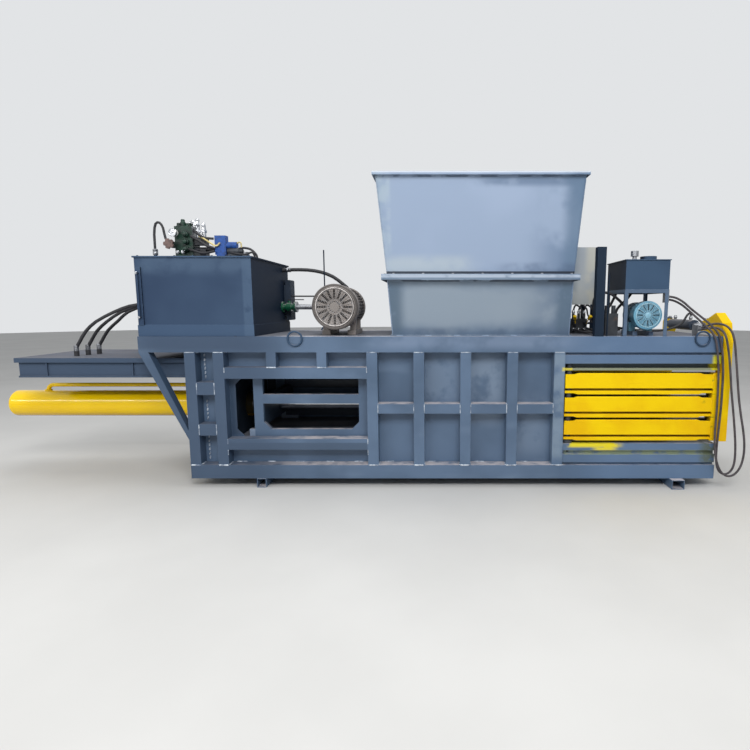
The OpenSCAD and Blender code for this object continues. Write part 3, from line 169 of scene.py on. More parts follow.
class Surface:
    # the values that every finish starts from
    def __init__(self, name):
        self.material = bpy.data.materials.new(name)
        self.material.use_nodes = True
        tree = self.material.node_tree
        tree.nodes.clear()
        self.t = Socket(tree)
        self.at = self.t.node("ShaderNodeTexCoord", out=3)
        self.normal = self.t.node("ShaderNodeNewGeometry", out=1)
        self.x, self.y, self.z = self.split(self.at)

    def split(self, vector):
        return [self.t.node("ShaderNodeSeparateXYZ", {}, {0: vector}, out=i) for i in range(3)]

    def up(self):
        return self.split(self.normal)[2]

    def noise(self, scale, detail=2.0, stretch=None, seed=0.0):
        at = self.at
        if stretch or seed:
            shift = (seed, seed * 0.7, seed * 1.3)
            at = self.t.node(
                "ShaderNodeMapping", {}, {"Vector": at, "Scale": stretch or (1, 1, 1), "Location": shift},
            )
        return self.t.node("ShaderNodeTexNoise", {}, {"Vector": at, "Scale": scale, "Detail": detail})

    def softEdge(self, radius=surfaceLook["softEdge"]):
        return self.t.node("ShaderNodeBevel", {"samples": surfaceLook["bevelSamples"]}, {"Radius": radius})

    def wornEdge(self, soft, chips):
        # 1 where the rounded normal turns away from the face's own, in the chips of a noise
        turn = self.t.node(
            "ShaderNodeVectorMath", {"operation": "DOT_PRODUCT"}, {0: soft, 1: self.normal}, out=1,
        )
        return (1 - turn).step(0.03, 0.22) * chips

    def facing(self, axis, sign=1):
        # 1 on faces that look along an axis, used to lay painted shade on whole sides
        return (self.split(self.normal)[axis] * sign).step(0.6, 0.9)

    def patch(self, spot):
        # a soft spot between two lengths and two heights, broken up by noise
        x0, x1, z0, z1 = spot["box"]
        fadeX, fadeZ = spot["fade"]
        inside = self.x.step(x0 - fadeX, x0 + fadeX) * (1 - self.x.step(x1 - fadeX, x1 + fadeX))
        inside = inside * self.z.step(z0 - fadeZ, z0 + fadeZ) * (1 - self.z.step(z1 - fadeZ, z1 + fadeZ))
        ragged = self.noise(spot["scale"], 3.0, seed=x1).step(*spot["ragged"])
        return inside * ragged * spot["share"]

    def close(self, colour, rough, metal=0.0, height=None, strength=0.2, soft=None, coat=0.0, gloss=0.5):
        inputs = {
            "Base Color": full(colour), "Roughness": rough, "Metallic": metal, "Coat Weight": coat,
            "Specular IOR Level": gloss,
        }
        if coat:
            inputs["Coat Roughness"] = surfaceLook["coatRough"]
        if height is not None:
            depth = surfaceLook["bumpDepth"]
            bump = {"Height": height, "Strength": strength, "Distance": depth, "Normal": soft}
            inputs["Normal"] = self.t.node("ShaderNodeBump", {}, bump)
        shader = self.t.node("ShaderNodeBsdfPrincipled", {}, inputs)
        self.t.node("ShaderNodeOutputMaterial", {}, {"Surface": shader})
        return self.material


# finishes

# patches hold sprayed colour and painted shade; inside and sides hold painted shade
plainPaint = {
    "cloud": 1.6, "seed": 0.0, "paleShare": 0.35, "dust": (150, 145, 145), "dustShare": 0.7,
    "worn": (150, 165, 182), "wornShare": 0.75, "spot": (60, 72, 88), "spotShare": 0.35,
    "patches": [], "inside": None, "sides": [], "rough": 0.42, "bump": 0.16, "coat": 0.15, "gloss": 0.4,
}


def paint(name, look):
    # clouded coat with paler sweeps, dust on what faces up, worn edges, specks, sprayed patches and patches
    # of painted shade, painted shade inside a depth and painted shade on chosen sides
    look = {**plainPaint, **look}
    s = Surface(name)
    soft = s.softEdge()
    cloud = s.noise(look["cloud"], 3.0, seed=look["seed"])
    grain = s.noise(55.0, 4.0)
    fine = s.noise(260.0, 2.0)
    colour = mixTint(s.t, look["dark"], look["light"], cloud.step(0.32, 0.70))
    sweep = s.noise(4.0, 2.0, stretch=(0.35, 1, 1), seed=3.1)
    colour = mixTint(s.t, colour, look["pale"], sweep.step(0.56, 0.78) * look["paleShare"])
    dust = s.up().step(0.55, 0.95) * s.noise(9.0, 5.0, seed=1.7).step(0.20, 0.62) * look["dustShare"]
    colour = mixTint(s.t, colour, look["dust"], dust)
    edge = s.wornEdge(soft, s.noise(30.0, 3.0, seed=5.0).step(0.40, 0.62))
    colour = mixTint(s.t, colour, look["worn"], edge * look["wornShare"])
    colour = mixTint(s.t, colour, look["spot"], grain.step(0.70, 0.80) * look["spotShare"])
    for spot in look["patches"]:
        colour = mixTint(s.t, colour, spot["tint"], s.patch(spot))
    # painted shade: a dark tint on all that lies nearer the middle than the given depth
    if look["inside"]:
        depth, tint = look["inside"]
        colour = mixTint(s.t, colour, tint, (1 - s.y.size().step(depth - 0.01, depth)) * 0.85)
    # painted shade: a darker tint on the faces that look along the given axis
    for tint, axis, sign, share in look["sides"]:
        colour = mixTint(s.t, colour, tint, s.facing(axis, sign) * share)
    rough = look["rough"] + cloud * 0.12 + dust * 0.25
    height = grain * 0.6 + fine * 0.25
    return s.close(colour, rough, 0.0, height, look["bump"], soft, look["coat"], look["gloss"])


finishes = {}
frameLook = {
    "dark": (72, 92, 116), "light": (88, 109, 135), "pale": (112, 131, 154), "paleShare": 0.4,
    "dust": (190, 184, 186), "dustShare": 1.0, "worn": (142, 160, 182),
}
finishes["frame_paint"] = paint("framePaint", frameLook)
oversprayAndShadeMarks = [
    # lighter overspray below the hopper, painted shade at the left end and in the window, bluer paint to the
    # right, yellow and olive overspray round the gate, and a painted shadow band in the header over the gate
    # painted shade: near black where the window opens into the dark chamber
    mark((-1.10, -1.02, 0.50, 1.04), (26, 35, 47), share=0.9, fade=(0.004, 0.02), ragged=(0.0, 0.1)),
    # painted shade along the guide rail at the left
    mark((-1.10, 0.22, 0.355, 0.440), (60, 77, 98), fade=(0.01, 0.005), ragged=(0.1, 0.3)),
    mark((1.975, 2.075, 0.30, 1.30), (138, 154, 166), share=0.5, fade=(0.01, 0.05), scale=6.0),
    mark((0.30, 2.15, 1.34, 1.50), (122, 139, 164), share=0.55, fade=(0.20, 0.05), scale=3.0),
    mark((2.20, 3.70, 0.0, 1.50), (92, 119, 153), share=0.55, fade=(0.40, 0.02), ragged=(0.1, 0.3),
         scale=2.0),
    # painted shade: darker top rail and darker frame at the left end
    mark((-1.90, -0.80, 1.33, 1.50), (52, 68, 92), fade=(0.25, 0.02), ragged=(0.1, 0.3)),
    mark((-1.90, -0.60, 0.0, 1.50), (54, 72, 95), fade=(0.30, 0.02), ragged=(0.1, 0.3),
         scale=2.0),
    # painted shadow in the header recess, with an olive tint of overspray
    mark((2.10, 3.52, 1.150, 1.197), (60, 68, 62), share=0.85, fade=(0.02, 0.004), ragged=(0.1, 0.3)),
    mark((2.09, 3.50, 1.128, 1.152), (140, 144, 112), share=0.85, fade=(0.02, 0.003), ragged=(0.1, 0.4)),
    mark((2.05, 2.15, 1.125, 1.160), (222, 204, 20), fade=(0.01, 0.006)),
    mark((2.10, 3.50, 0.322, 0.368), (150, 160, 110), share=0.65, fade=(0.02, 0.004)),
    mark((2.12, 2.62, 0.395, 0.445), (228, 210, 8), share=0.95, fade=(0.06, 0.014), ragged=(0.36, 0.46),
         scale=6.0),
    mark((2.38, 2.58, 0.360, 0.440), (228, 210, 8), share=0.9, fade=(0.05, 0.02), ragged=(0.34, 0.44),
         scale=7.0),
    mark((3.455, 3.56, 1.12, 1.275), (216, 206, 16), share=0.95, fade=(0.02, 0.02), ragged=(0.3, 0.45),
         scale=12.0),
    mark((3.40, 3.56, 0.24, 0.46), (84, 92, 70), fade=(0.05, 0.03), ragged=(0.38, 0.5),
         scale=14.0),
]
frameOversprayAndShade = paint("framePaintFront", {**frameLook, "patches": oversprayAndShadeMarks})
finishes["deck_paint"] = paint("deckPaint", {
    "dark": (84, 92, 106), "light": (100, 106, 116), "pale": (120, 124, 132), "seed": 2.0, "dustShare": 0.6,
    "dust": (112, 110, 114), "gloss": 0.1, "coat": 0.0, "rough": 0.6,
    # painted shade: every side darker than the top
    "sides": [
        ((62, 78, 99), 1, -1, 0.85), ((62, 78, 99), 1, 1, 0.85), ((52, 66, 86), 0, 1, 0.85),
        ((62, 78, 99), 0, -1, 0.85),
    ],
})
finishes["tank_paint"] = paint("tankPaint", {
    "dark": (50, 66, 90), "light": (62, 80, 104), "pale": (80, 100, 124), "seed": 4.0, "cloud": 1.1,
    "gloss": 0.08, "coat": 0.0, "rough": 0.5,
    # the +X side: darker navy paint, deepened by painted shade
    "worn": (128, 150, 178), "sides": [((20, 31, 48), 0, 1, 0.94)], "patches": [
        mark((-1.90, -0.80, 2.03, 2.20), (78, 97, 120), share=0.7, fade=(0.05, 0.06), scale=4.0),
        mark((-1.90, -0.78, 1.44, 1.56), (68, 88, 114), share=0.7, fade=(0.02, 0.004), ragged=(0.1, 0.3)),
        mark((-0.90, -0.76, 1.40, 2.15), (82, 102, 126), share=0.5, fade=(0.012, 0.02), ragged=(0.2, 0.4)),
    ],
})
smallTankPaint = paint("smallTankPaint", {
    "dark": (50, 69, 92), "light": (60, 82, 107), "pale": (76, 98, 124), "seed": 3.0, "worn": (110, 134, 160),
    # painted shade on the -X side
    "sides": [((32, 38, 50), 0, -1, 0.9)], "gloss": 0.15, "coat": 0.0,
})
finishes["cabinet_paint"] = paint("cabinetPaint", {
    "dark": (160, 168, 176), "light": (190, 194, 192), "pale": (206, 206, 198), "seed": 6.0,
    "worn": (96, 112, 128), "spot": (150, 156, 160), "patches": [
        mark((2.10, 2.30, 1.70, 2.60), (124, 140, 154), share=0.7, fade=(0.05, 0.05), scale=4.0),
        mark((2.40, 2.60, 1.74, 2.60), (200, 198, 184), share=0.7, fade=(0.04, 0.05), scale=5.0),
    ],
})
finishes["motor_paint"] = paint("motorPaint", {
    "dark": (118, 112, 108), "light": (158, 150, 145), "pale": (176, 168, 162), "seed": 7.0, "rough": 0.6,
    "worn": (190, 182, 176), "spot": (96, 88, 84), "coat": 0.0, "bump": 0.3,
})
finishes["small_motor_paint"] = paint("smallMotorPaint", {
    "dark": (78, 128, 152), "light": (106, 158, 180), "pale": (140, 186, 204), "seed": 8.0,
    "worn": (178, 212, 224), "spot": (80, 120, 140), "coat": 0.3,
})
finishes["valve_green"] = paint("valveGreen", {
    "dark": (4, 66, 46), "light": (10, 100, 62), "pale": (30, 120, 84), "seed": 9.0,
    "worn": (120, 150, 140), "spot": (6, 48, 38), "coat": 0.4, "rough": 0.3,
})
finishes["cylinder_yellow"] = paint("cylinderYellow", {
    "dark": (238, 194, 0), "light": (248, 206, 0), "pale": (252, 214, 4), "seed": 10.0,
    "worn": (252, 224, 80), "spot": (214, 168, 0), "spotShare": 0.15, "coat": 0.7, "rough": 0.18,
    "bump": 0.02, "dust": (236, 200, 40), "dustShare": 0.2, "gloss": 0.1,
    # painted shade on the faces that look down
    "sides": [((190, 146, 0), 2, -1, 0.8)], "patches": [
        # painted shade: near black on the stretch of barrel that runs inside the frame
        mark((-1.36, -0.60, 0.50, 0.95), (24, 26, 30), share=0.96, fade=(0.06, 0.02), ragged=(0.0, 0.1)),
    ],
})


def gatePaint():
    # bright yellow, painted shade in the grooves under each beam, painted shadow inside the slots and olive
    # overspray at their ends
    look = {
        "slot": 0.448, "pitch": 0.2225, "yellow": (240, 202, 0), "deep": (230, 182, 0),
        "groove": (112, 76, 0), "shadow": (22, 20, 16), "olive": (122, 122, 24), "pale": (252, 226, 40),
        "arm": (3.47, 3.48), "leftEnd": (2.08, 2.12), "rightEnd": (3.34, 3.44), "rightStop": (3.48, 3.52),
        "shadowStop": (3.46, 3.48), "header": (1.15, 1.16), "wall": (0.645, 0.655),
    }
    s = Surface("gateYellow")
    soft = s.softEdge()
    colour = mixTint(s.t, look["deep"], look["yellow"], s.noise(2.4, 3.0, seed=1.0).step(0.3, 0.6))
    streak = s.noise(7.0, 4.0, stretch=(0.3, 1, 3.5), seed=2.0).step(0.60, 0.75)
    colour = mixTint(s.t, colour, look["deep"], streak * 0.6)
    part = s.t.math("FLOORED_MODULO", s.z - look["slot"], look["pitch"]) / look["pitch"]
    # noise that breaks up the painted groove shade
    worn = s.noise(14.0, 3.0, stretch=(0.4, 1, 1)).step(0.25, 0.6) * 0.5 + 0.5
    # painted shade: brown in the groove under each beam's overhang
    groove = part.step(0.195, 0.215) * (1 - part.step(0.285, 0.305)) * worn * (1 - s.x.step(*look["arm"]))
    colour = mixTint(s.t, colour, look["groove"], groove * 0.92)
    lip = part.step(0.045, 0.05) * (1 - part.step(0.06, 0.12))
    ends = s.x.step(*look["rightEnd"]) * (1 - s.x.step(*look["rightStop"]))
    ends = (ends + (1 - s.x.step(*look["leftEnd"]))).low(1.0)
    mess = s.noise(16.0, 4.0, seed=4.0)
    colour = mixTint(s.t, colour, look["olive"], ends * (mess + lip * 0.3).step(0.58, 0.70) * 0.7)
    edge = s.wornEdge(soft, s.noise(26.0, 3.0, seed=5.0).step(0.40, 0.62))
    colour = mixTint(s.t, colour, look["pale"], edge * 0.6)
    # painted shadow on the walls next to each slot
    nearSlot = (part - 0.5).size().step(0.36, 0.38) * (1 - s.x.step(*look["shadowStop"]))
    nearSlot = nearSlot * (1 - s.z.step(*look["header"])) * (1 - s.y.size().step(*look["wall"]))
    colour = mixTint(s.t, colour, look["shadow"], nearSlot)
    grain = s.noise(60.0, 4.0)
    rough = 0.36 + mess * 0.15
    return s.close(colour, rough, 0.0, grain, 0.10, soft, 0.0, gloss=0.15)


finishes["gate_yellow"] = gatePaint()


hopperLightAndShadeMarks = [
    # painted shadow in the joint with a pale flange below it, a painted highlight on the top edge and painted
    # shadow in the gaps under both
    mark((0.30, 2.30, 2.018, 2.042), (26, 34, 46), share=0.92, fade=(0.01, 0.002), ragged=(0.0, 0.1)),
    mark((0.30, 2.30, 1.984, 2.009), (180, 192, 208), share=0.7, fade=(0.01, 0.003), ragged=(0.2, 0.5)),
    mark((0.30, 2.30, 1.950, 1.966), (34, 46, 64), share=0.85, fade=(0.01, 0.003), ragged=(0.46, 0.54),
         scale=5.0),
    mark((0.20, 2.40, 2.868, 2.890), (204, 212, 222), fade=(0.01, 0.002), ragged=(0.1, 0.4)),
    mark((0.20, 2.40, 2.838, 2.853), (70, 88, 112), fade=(0.01, 0.004), ragged=(0.42, 0.56),
         scale=6.0),
]


def hopperPaint(name, look):
    # light paint sprayed from the middle, thinner towards the edges of each wall
    s = Surface(name)
    soft = s.softEdge()
    wave = s.noise(2.2, 3.0, seed=look["seed"])
    side = (s.x - look["x"][0]).low(look["x"][1] - s.x).high(look["y"] - s.y.size())
    rise = (s.z - look["z"][0]).low((look["z"][1] - s.z) * look["topShare"])
    inner = side.low(rise) + (wave - 0.5) * 0.30
    colour = mixTint(s.t, look["edge"], look["body"], inner.step(look["band"][0], look["band"][1]))
    end = look["x"][1]
    right = s.x.step(end - 0.55, end - 0.05) * s.noise(3.0, 3.0, seed=8.0).step(0.30, 0.55)
    colour = mixTint(s.t, colour, look["shade"], right * 0.85)
    colour = mixTint(s.t, colour, look["pale"], s.noise(1.3, 2.0, seed=6.0).step(0.5, 0.75) * 0.4)
    edge = s.wornEdge(soft, s.noise(20.0, 3.0, seed=5.0).step(0.35, 0.6))
    colour = mixTint(s.t, colour, look["worn"], edge * 0.8)
    spots = s.noise(38.0, 3.0).step(0.74, 0.8) * 0.5
    colour = mixTint(s.t, colour, look["shade"], spots)
    for spot in look["patches"] + hopperLightAndShadeMarks:
        colour = mixTint(s.t, colour, spot["tint"], s.patch(spot))
    grain = s.noise(70.0, 4.0)
    return s.close(colour, 0.40 + wave * 0.2, 0.0, grain, 0.10, soft, 0.1)


upperHopper = hopperPaint("hopperUpperPaint", {
    "patches": [
        mark((0.36, 1.20, 2.02, 2.17), (174, 186, 194), share=0.7, fade=(0.15, 0.05), scale=3.0),
        mark((1.25, 2.30, 2.77, 2.85), (88, 110, 138), share=0.75, fade=(0.25, 0.03), scale=4.0),
        mark((2.03, 2.40, 2.02, 2.86), (92, 116, 142), fade=(0.07, 0.04), ragged=(0.1, 0.4)),
        mark((1.55, 2.30, 2.02, 2.11), (80, 100, 128), share=0.75, fade=(0.22, 0.03), scale=4.0),
        mark((0.30, 0.47, 2.20, 2.86), (170, 186, 196), share=0.6, fade=(0.02, 0.05), scale=6.0),
    ],
    "seed": 1.0, "x": (0.35, 2.16), "y": 0.80, "z": (1.93, 2.88), "topShare": 1.6, "band": (-0.03, 0.12),
    "edge": (124, 144, 170), "body": (146, 163, 188), "shade": (96, 119, 148), "pale": (158, 174, 199),
    "worn": (206, 216, 230),
})
lowerHopper = hopperPaint("hopperLowerPaint", {
    "patches": [
        mark((2.00, 2.30, 1.45, 1.95), (76, 98, 118), share=0.7, fade=(0.05, 0.03), ragged=(0.2, 0.45)),
        mark((0.30, 0.56, 1.45, 1.95), (78, 98, 116), fade=(0.06, 0.05), ragged=(0.1, 0.4)),
        mark((0.40, 2.20, 1.45, 1.52), (84, 102, 124), share=0.75, fade=(0.05, 0.03), scale=4.0),
    ],
    "seed": 2.0, "x": (0.43, 2.13), "y": 0.66, "z": (1.46, 2.0), "topShare": 1.0, "band": (-0.02, 0.16),
    "edge": (100, 120, 142), "body": (134, 148, 162), "shade": (92, 111, 134), "pale": (147, 159, 171),
    "worn": (196, 206, 218),
})


def bareMetal(name, look):
    # smeared metal with rust in places
    s = Surface(name)
    soft = s.softEdge(0.003)
    smear = s.noise(6.0, 4.0, stretch=look.get("stretch", (1, 1, 1)))
    colour = mixTint(s.t, look["dark"], look["light"], smear.step(0.3, 0.7))
    rust = s.noise(14.0, 5.0, seed=3.0).step(0.58, 0.74) * look.get("rustShare", 0.3)
    colour = mixTint(s.t, colour, (110, 74, 50), rust)
    return s.close(colour, look["rough"] + smear * 0.2, look.get("metal", 1.0), s.noise(90.0, 3.0), 0.1, soft)


finishes["bare_steel"] = bareMetal("bareSteel", {
    "dark": (120, 122, 126), "light": (176, 178, 182), "rough": 0.34,
})
finishes["chrome_rod"] = bareMetal("chromeRod", {
    "dark": (190, 192, 196), "light": (214, 216, 220), "rough": 0.10, "rustShare": 0.0,
})
finishes["dark_parts"] = bareMetal("darkParts", {
    "dark": (34, 37, 42), "light": (66, 70, 76), "rough": 0.46, "metal": 0.2, "rustShare": 0.35,
})


def softPlastic(name, tint, rough=0.45):
    # plastic, rubber or thin enamel with a faint wave in its colour
    s = Surface(name)
    wave = s.noise(24.0, 4.0)
    deep = tuple(c * 0.72 for c in tint)
    colour = mixTint(s.t, deep, tint, wave.step(0.3, 0.6))
    return s.close(colour, wave * 0.2 + rough, 0.0, s.noise(200.0, 2.0), 0.08, s.softEdge(0.002))


finishes["coil_blue"] = softPlastic("coilBlue", (30, 80, 158))
finishes["knob_red"] = softPlastic("knobRed", (150, 92, 78))
finishes["knob_green"] = softPlastic("knobGreen", (40, 150, 70))
finishes["dial_white"] = softPlastic("dialWhite", (226, 226, 222), 0.3)
finishes["hose_rubber"] = softPlastic("hoseRubber", (42, 42, 46), 0.55)
hoseWrap = softPlastic("hoseWrap", (76, 70, 74), 0.6)
weldBead = bareMetal("weldBead", {
    "dark": (92, 108, 132), "light": (204, 212, 220), "rough": 0.5, "metal": 0.0, "rustShare": 0.06,
    "stretch": (5, 5, 5),
})


manifoldLook = {
    "green": ((8, 30, 24), (20, 58, 44)), "black": ((16, 18, 24), (44, 46, 54)), "bright": (206, 208, 212),
    "worn": (120, 130, 132), "pipesFrom": (-1.455, -1.453), "fittingsFrom": (2.378, 2.382),
}


def manifoldPaint():
    # oily green blocks and black pipes, with bright fittings above the second block
    look = manifoldLook
    s = Surface("manifoldPaint")
    soft = s.softEdge()
    smear = s.noise(18.0, 4.0)
    green = mixTint(s.t, *look["green"], smear.step(0.35, 0.7))
    black = mixTint(s.t, *look["black"], smear.step(0.4, 0.75))
    right = s.x.step(*look["pipesFrom"])
    bright = right * s.z.step(*look["fittingsFrom"])
    colour = mixTint(s.t, mixTint(s.t, green, black, right), look["bright"], bright)
    edge = s.wornEdge(soft, smear.step(0.4, 0.6))
    colour = mixTint(s.t, colour, look["worn"], edge * 0.6)
    rough = 0.42 - bright * 0.25 + smear * 0.1
    return s.close(colour, rough, bright * 0.9, smear, 0.15, soft, 0.0, gloss=0.4)


# painted shade: the deck posts made dark as they stand in shadow
shadedPostPaint = paint("shadedPostPaint", {
    "dark": (24, 36, 50), "light": (33, 46, 62), "pale": (46, 60, 78), "seed": 5.0, "worn": (80, 98, 120),
    "coat": 0.0, "gloss": 0.1,
})
# dark blue-grey: painted shade on the rear bulkhead inside the chamber, and the squeeze barrel's own dark
# paint; also used on the oil cooler
darkPaintAndInnerShade = paint("darkPaintAndInnerShade", {
    "dark": (24, 33, 45), "light": (36, 48, 64), "pale": (52, 66, 86), "seed": 8.0, "worn": (76, 92, 112),
    "coat": 0.0,
})
shoePaint = paint("shoePaint", {
    "dark": (112, 128, 150), "light": (146, 160, 178), "pale": (170, 180, 192), "seed": 2.0,
    "worn": (190, 196, 202),
})
# painted shade on the carriage's middle, inside the chamber walls
carriageShadedInside = paint("carriageShadedInside", {**frameLook, "inside": (0.50, (30, 40, 54))})
panelPaint = paint("panelPaint", {**frameLook, "patches": [
    # painted shade: near black where the window opens into the dark chamber
    mark((-1.115, -1.02, 0.52, 1.14), (26, 35, 47), share=0.9, fade=(0.004, 0.02), ragged=(0.0, 0.1)),
    mark((1.12, 1.52, 0.62, 1.28), (120, 137, 157), share=0.75, fade=(0.10, 0.10), scale=5.0),
    mark((0.72, 1.08, 0.80, 1.25), (112, 130, 152), share=0.6, fade=(0.12, 0.10), scale=6.0),
    mark((1.60, 1.95, 0.30, 0.85), (112, 130, 152), share=0.6, fade=(0.12, 0.10), scale=6.0),
]})

subparts = {row["node"]: row["material_slot"] for row in frame["record"]["subparts"]}
special = {
    "hopper_upper": upperHopper, "hopper_lower": lowerHopper, "front_side_frame": frameOversprayAndShade,
    "rear_side_frame": frameOversprayAndShade, "valve_manifold": manifoldPaint(), "squeeze_tank": smallTankPaint,
    "deck_posts": shadedPostPaint, "squeeze_cylinder_barrel": darkPaintAndInnerShade, "rear_bulkhead": darkPaintAndInnerShade,
    "slide_shoes": shoePaint, "ram_carriage": carriageShadedInside, "gate_hinge_pins": finishes["dark_parts"],
    "front_side_panel": panelPaint, "rear_side_panel": panelPaint, "lifting_rings": smallTankPaint,
    "oil_cooler": darkPaintAndInnerShade, "relief_handwheel": softPlastic("wheelBrown", (112, 90, 84)),
}
for node, piece in frame["nodes"].items():
    piece.data.materials.clear()
    piece.data.materials.append(special.get(node) or finishes[subparts[node]])
print("finishes set:", len(finishes))


# mesh making

class Shape:
    # gathers small solids into one piece
    def __init__(self):
        self.verts = []
        self.faces = []

    def add(self, verts, faces):
        base = len(self.verts)
        self.verts += [tuple(v) for v in verts]
        self.faces += [tuple(base + i for i in f) for f in faces]

    def tube(self, points, radius, sides=10, closed=False):
        points = [Vector(p) for p in points]
        radii = radius if isinstance(radius, (list, tuple)) else [radius] * len(points)
        count = len(points)
        verts, faces = [], []
        normal = None
        for i, p in enumerate(points):
            after = points[(i + 1) % count] if closed else points[min(i + 1, count - 1)]
            before = points[i - 1] if closed else points[max(i - 1, 0)]
            way = (after - before).normalized()
            if normal is None:
                normal = way.orthogonal().normalized()
            normal = (normal - way * normal.dot(way)).normalized()
            other = way.cross(normal)
            for k in range(sides):
                turn = 2 * math.pi * k / sides
                verts.append(p + (normal * math.cos(turn) + other * math.sin(turn)) * radii[i])
        for i in range(count if closed else count - 1):
            j = (i + 1) % count
            for k in range(sides):
                n = (k + 1) % sides
                faces.append((i * sides + k, j * sides + k, j * sides + n, i * sides + n))
        if not closed:
            faces.append(tuple(reversed(range(sides))))
            faces.append(tuple((count - 1) * sides + k for k in range(sides)))
        self.add(verts, faces)
        return self

    def lathe(self, profile, centre, axis, sides=24):
        # profile of (radius, height) pairs along axis from centre
        axis = Vector(axis).normalized()
        side = axis.orthogonal().normalized()
        other = axis.cross(side)
        centre = Vector(centre)
        verts, faces = [], []
        for r, h in profile:
            for k in range(sides):
                turn = 2 * math.pi * k / sides
                verts.append(centre + axis * h + (side * math.cos(turn) + other * math.sin(turn)) * r)
        for i in range(len(profile) - 1):
            for k in range(sides):
                n = (k + 1) % sides
                faces.append((i * sides + k, i * sides + n, (i + 1) * sides + n, (i + 1) * sides + k))
        faces.append(tuple(reversed(range(sides))))
        faces.append(tuple((len(profile) - 1) * sides + k for k in range(sides)))
        self.add(verts, faces)
        return self

    def bolt(self, centre, axis, size, height=None):
        # washer, hex head and a low dome
        height = height or size * 0.6
        self.lathe([(size * 0.72, 0), (size * 0.72, size * 0.12)], centre, axis, 16)
        head = [(size * 0.56, size * 0.12), (size * 0.58, height * 0.9), (size * 0.48, height)]
        self.lathe(head, centre, axis, 6)
        return self

    def block(self, low, high, soft=0.0):
        (x0, y0, z0), (x1, y1, z1) = low, high
        shape = bmesh.new()
        bmesh.ops.create_cube(shape, size=1)
        for v in shape.verts:
            v.co = Vector((x0 + (v.co.x + 0.5) * (x1 - x0), y0 + (v.co.y + 0.5) * (y1 - y0),
                           z0 + (v.co.z + 0.5) * (z1 - z0)))
        if soft:
            bmesh.ops.bevel(shape, geom=shape.edges[:], offset=soft, segments=2, affect="EDGES")
        shape.verts.index_update()
        self.add([v.co.copy() for v in shape.verts], [[v.index for v in f.verts] for f in shape.faces])
        shape.free()
        return self

    def weld(self, start, end, size, out):
        # ripples of a bead along a joint, half of it standing out of the metal
        start, end, out = Vector(start), Vector(end), Vector(out).normalized()
        length = (end - start).length
        count = max(4, int(length / (size * 0.55)))
        points, radii = [], []
        for i in range(count + 1):
            share = i / count
            wobble = dice.uniform(-0.14, 0.14) * size
            points.append(start.lerp(end, share) + out * wobble)
            ripple = 0.82 + 0.18 * (i % 2) + dice.uniform(-0.1, 0.1)
            radii.append(size * (0.4 if i in (0, count) else ripple))
        return self.tube(points, radii, 6)

    def done(self, name, slot, finish=None, body="root"):
        # the slot's own finish unless another is given
        mesh = bpy.data.meshes.new(name)
        mesh.from_pydata(self.verts, [], self.faces)
        mesh.validate()
        shape = bmesh.new()
        shape.from_mesh(mesh)
        bmesh.ops.recalc_face_normals(shape, faces=shape.faces[:])
        shape.to_mesh(mesh)
        shape.free()
        mesh.shade_smooth()
        mesh.set_sharp_from_angle(angle=math.radians(40))
        mesh.materials.append(finish or finishes[slot])
        piece = bpy.data.objects.new(name, mesh)
        scene.collection.objects.link(piece)
        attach(piece, body)
        return piece


# free hoses

hoses = {
    "hose_loop_a": {
        "diameter": 0.020,
        "route": [
            (3040, -600, 1815), (3048, -600, 1815), (3110, -600, 1802), (3180, -604, 1762),
            (3246, -612, 1704), (3320, -624, 1644), (3390, -644, 1584), (3440, -668, 1530),
            (3476, -694, 1474), (3496, -706, 1404), (3514, -708, 1320), (3528, -708, 1210),
            (3538, -708, 1090), (3540, -708, 950), (3540, -708, 810), (3536, -708, 670),
            (3530, -708, 530), (3526, -708, 400), (3528, -708, 300), (3542, -708, 214),
            (3572, -709, 162), (3614, -714, 144), (3656, -720, 164), (3682, -728, 218),
            (3690, -734, 300), (3684, -738, 420), (3668, -738, 560), (3648, -738, 700),
            (3626, -738, 840), (3604, -738, 980), (3588, -736, 1120), (3570, -734, 1250),
            (3550, -732, 1360), (3534, -722, 1440), (3516, -694, 1496), (3490, -650, 1524),
            (3450, -606, 1526), (3410, -584, 1516), (3374, -580, 1512), (3366, -580, 1512),
        ],
    },
    "hose_loop_b": {
        "diameter": 0.020,
        "route": [
            (3040, -560, 1790), (3048, -560, 1790), (3110, -562, 1776), (3180, -572, 1738),
            (3250, -590, 1676), (3320, -612, 1608), (3376, -642, 1548), (3420, -678, 1494),
            (3448, -704, 1424), (3466, -708, 1340), (3482, -708, 1230), (3494, -708, 1100),
            (3500, -708, 960), (3502, -708, 810), (3500, -710, 660), (3496, -716, 520),
            (3498, -730, 390), (3512, -748, 280), (3546, -764, 190), (3602, -772, 146),
            (3668, -774, 158), (3722, -774, 230), (3746, -774, 340), (3744, -774, 460),
            (3724, -772, 590), (3694, -770, 730), (3668, -768, 870), (3648, -766, 1010),
            (3630, -764, 1150), (3612, -762, 1280), (3596, -758, 1390), (3578, -742, 1480),
            (3548, -706, 1540), (3504, -650, 1564), (3458, -592, 1558), (3412, -550, 1530),
            (3374, -535, 1520), (3366, -535, 1520),
        ],
    },
}


def smoothRoute(route, steps):
    # a smooth line through points in millimetres, given in metres
    points = [Vector(p) / 1000 for p in route]
    line = []
    for i in range(len(points) - 1):
        a, b = points[max(i - 1, 0)], points[i]
        c, d = points[i + 1], points[min(i + 2, len(points) - 1)]
        for k in range(steps):
            t = k / steps
            line.append(0.5 * (2 * b + (c - a) * t + (2 * a - 5 * b + 4 * c - d) * t * t
                               + (3 * b - a - 3 * c + d) * t * t * t))
    return line + [points[-1]]


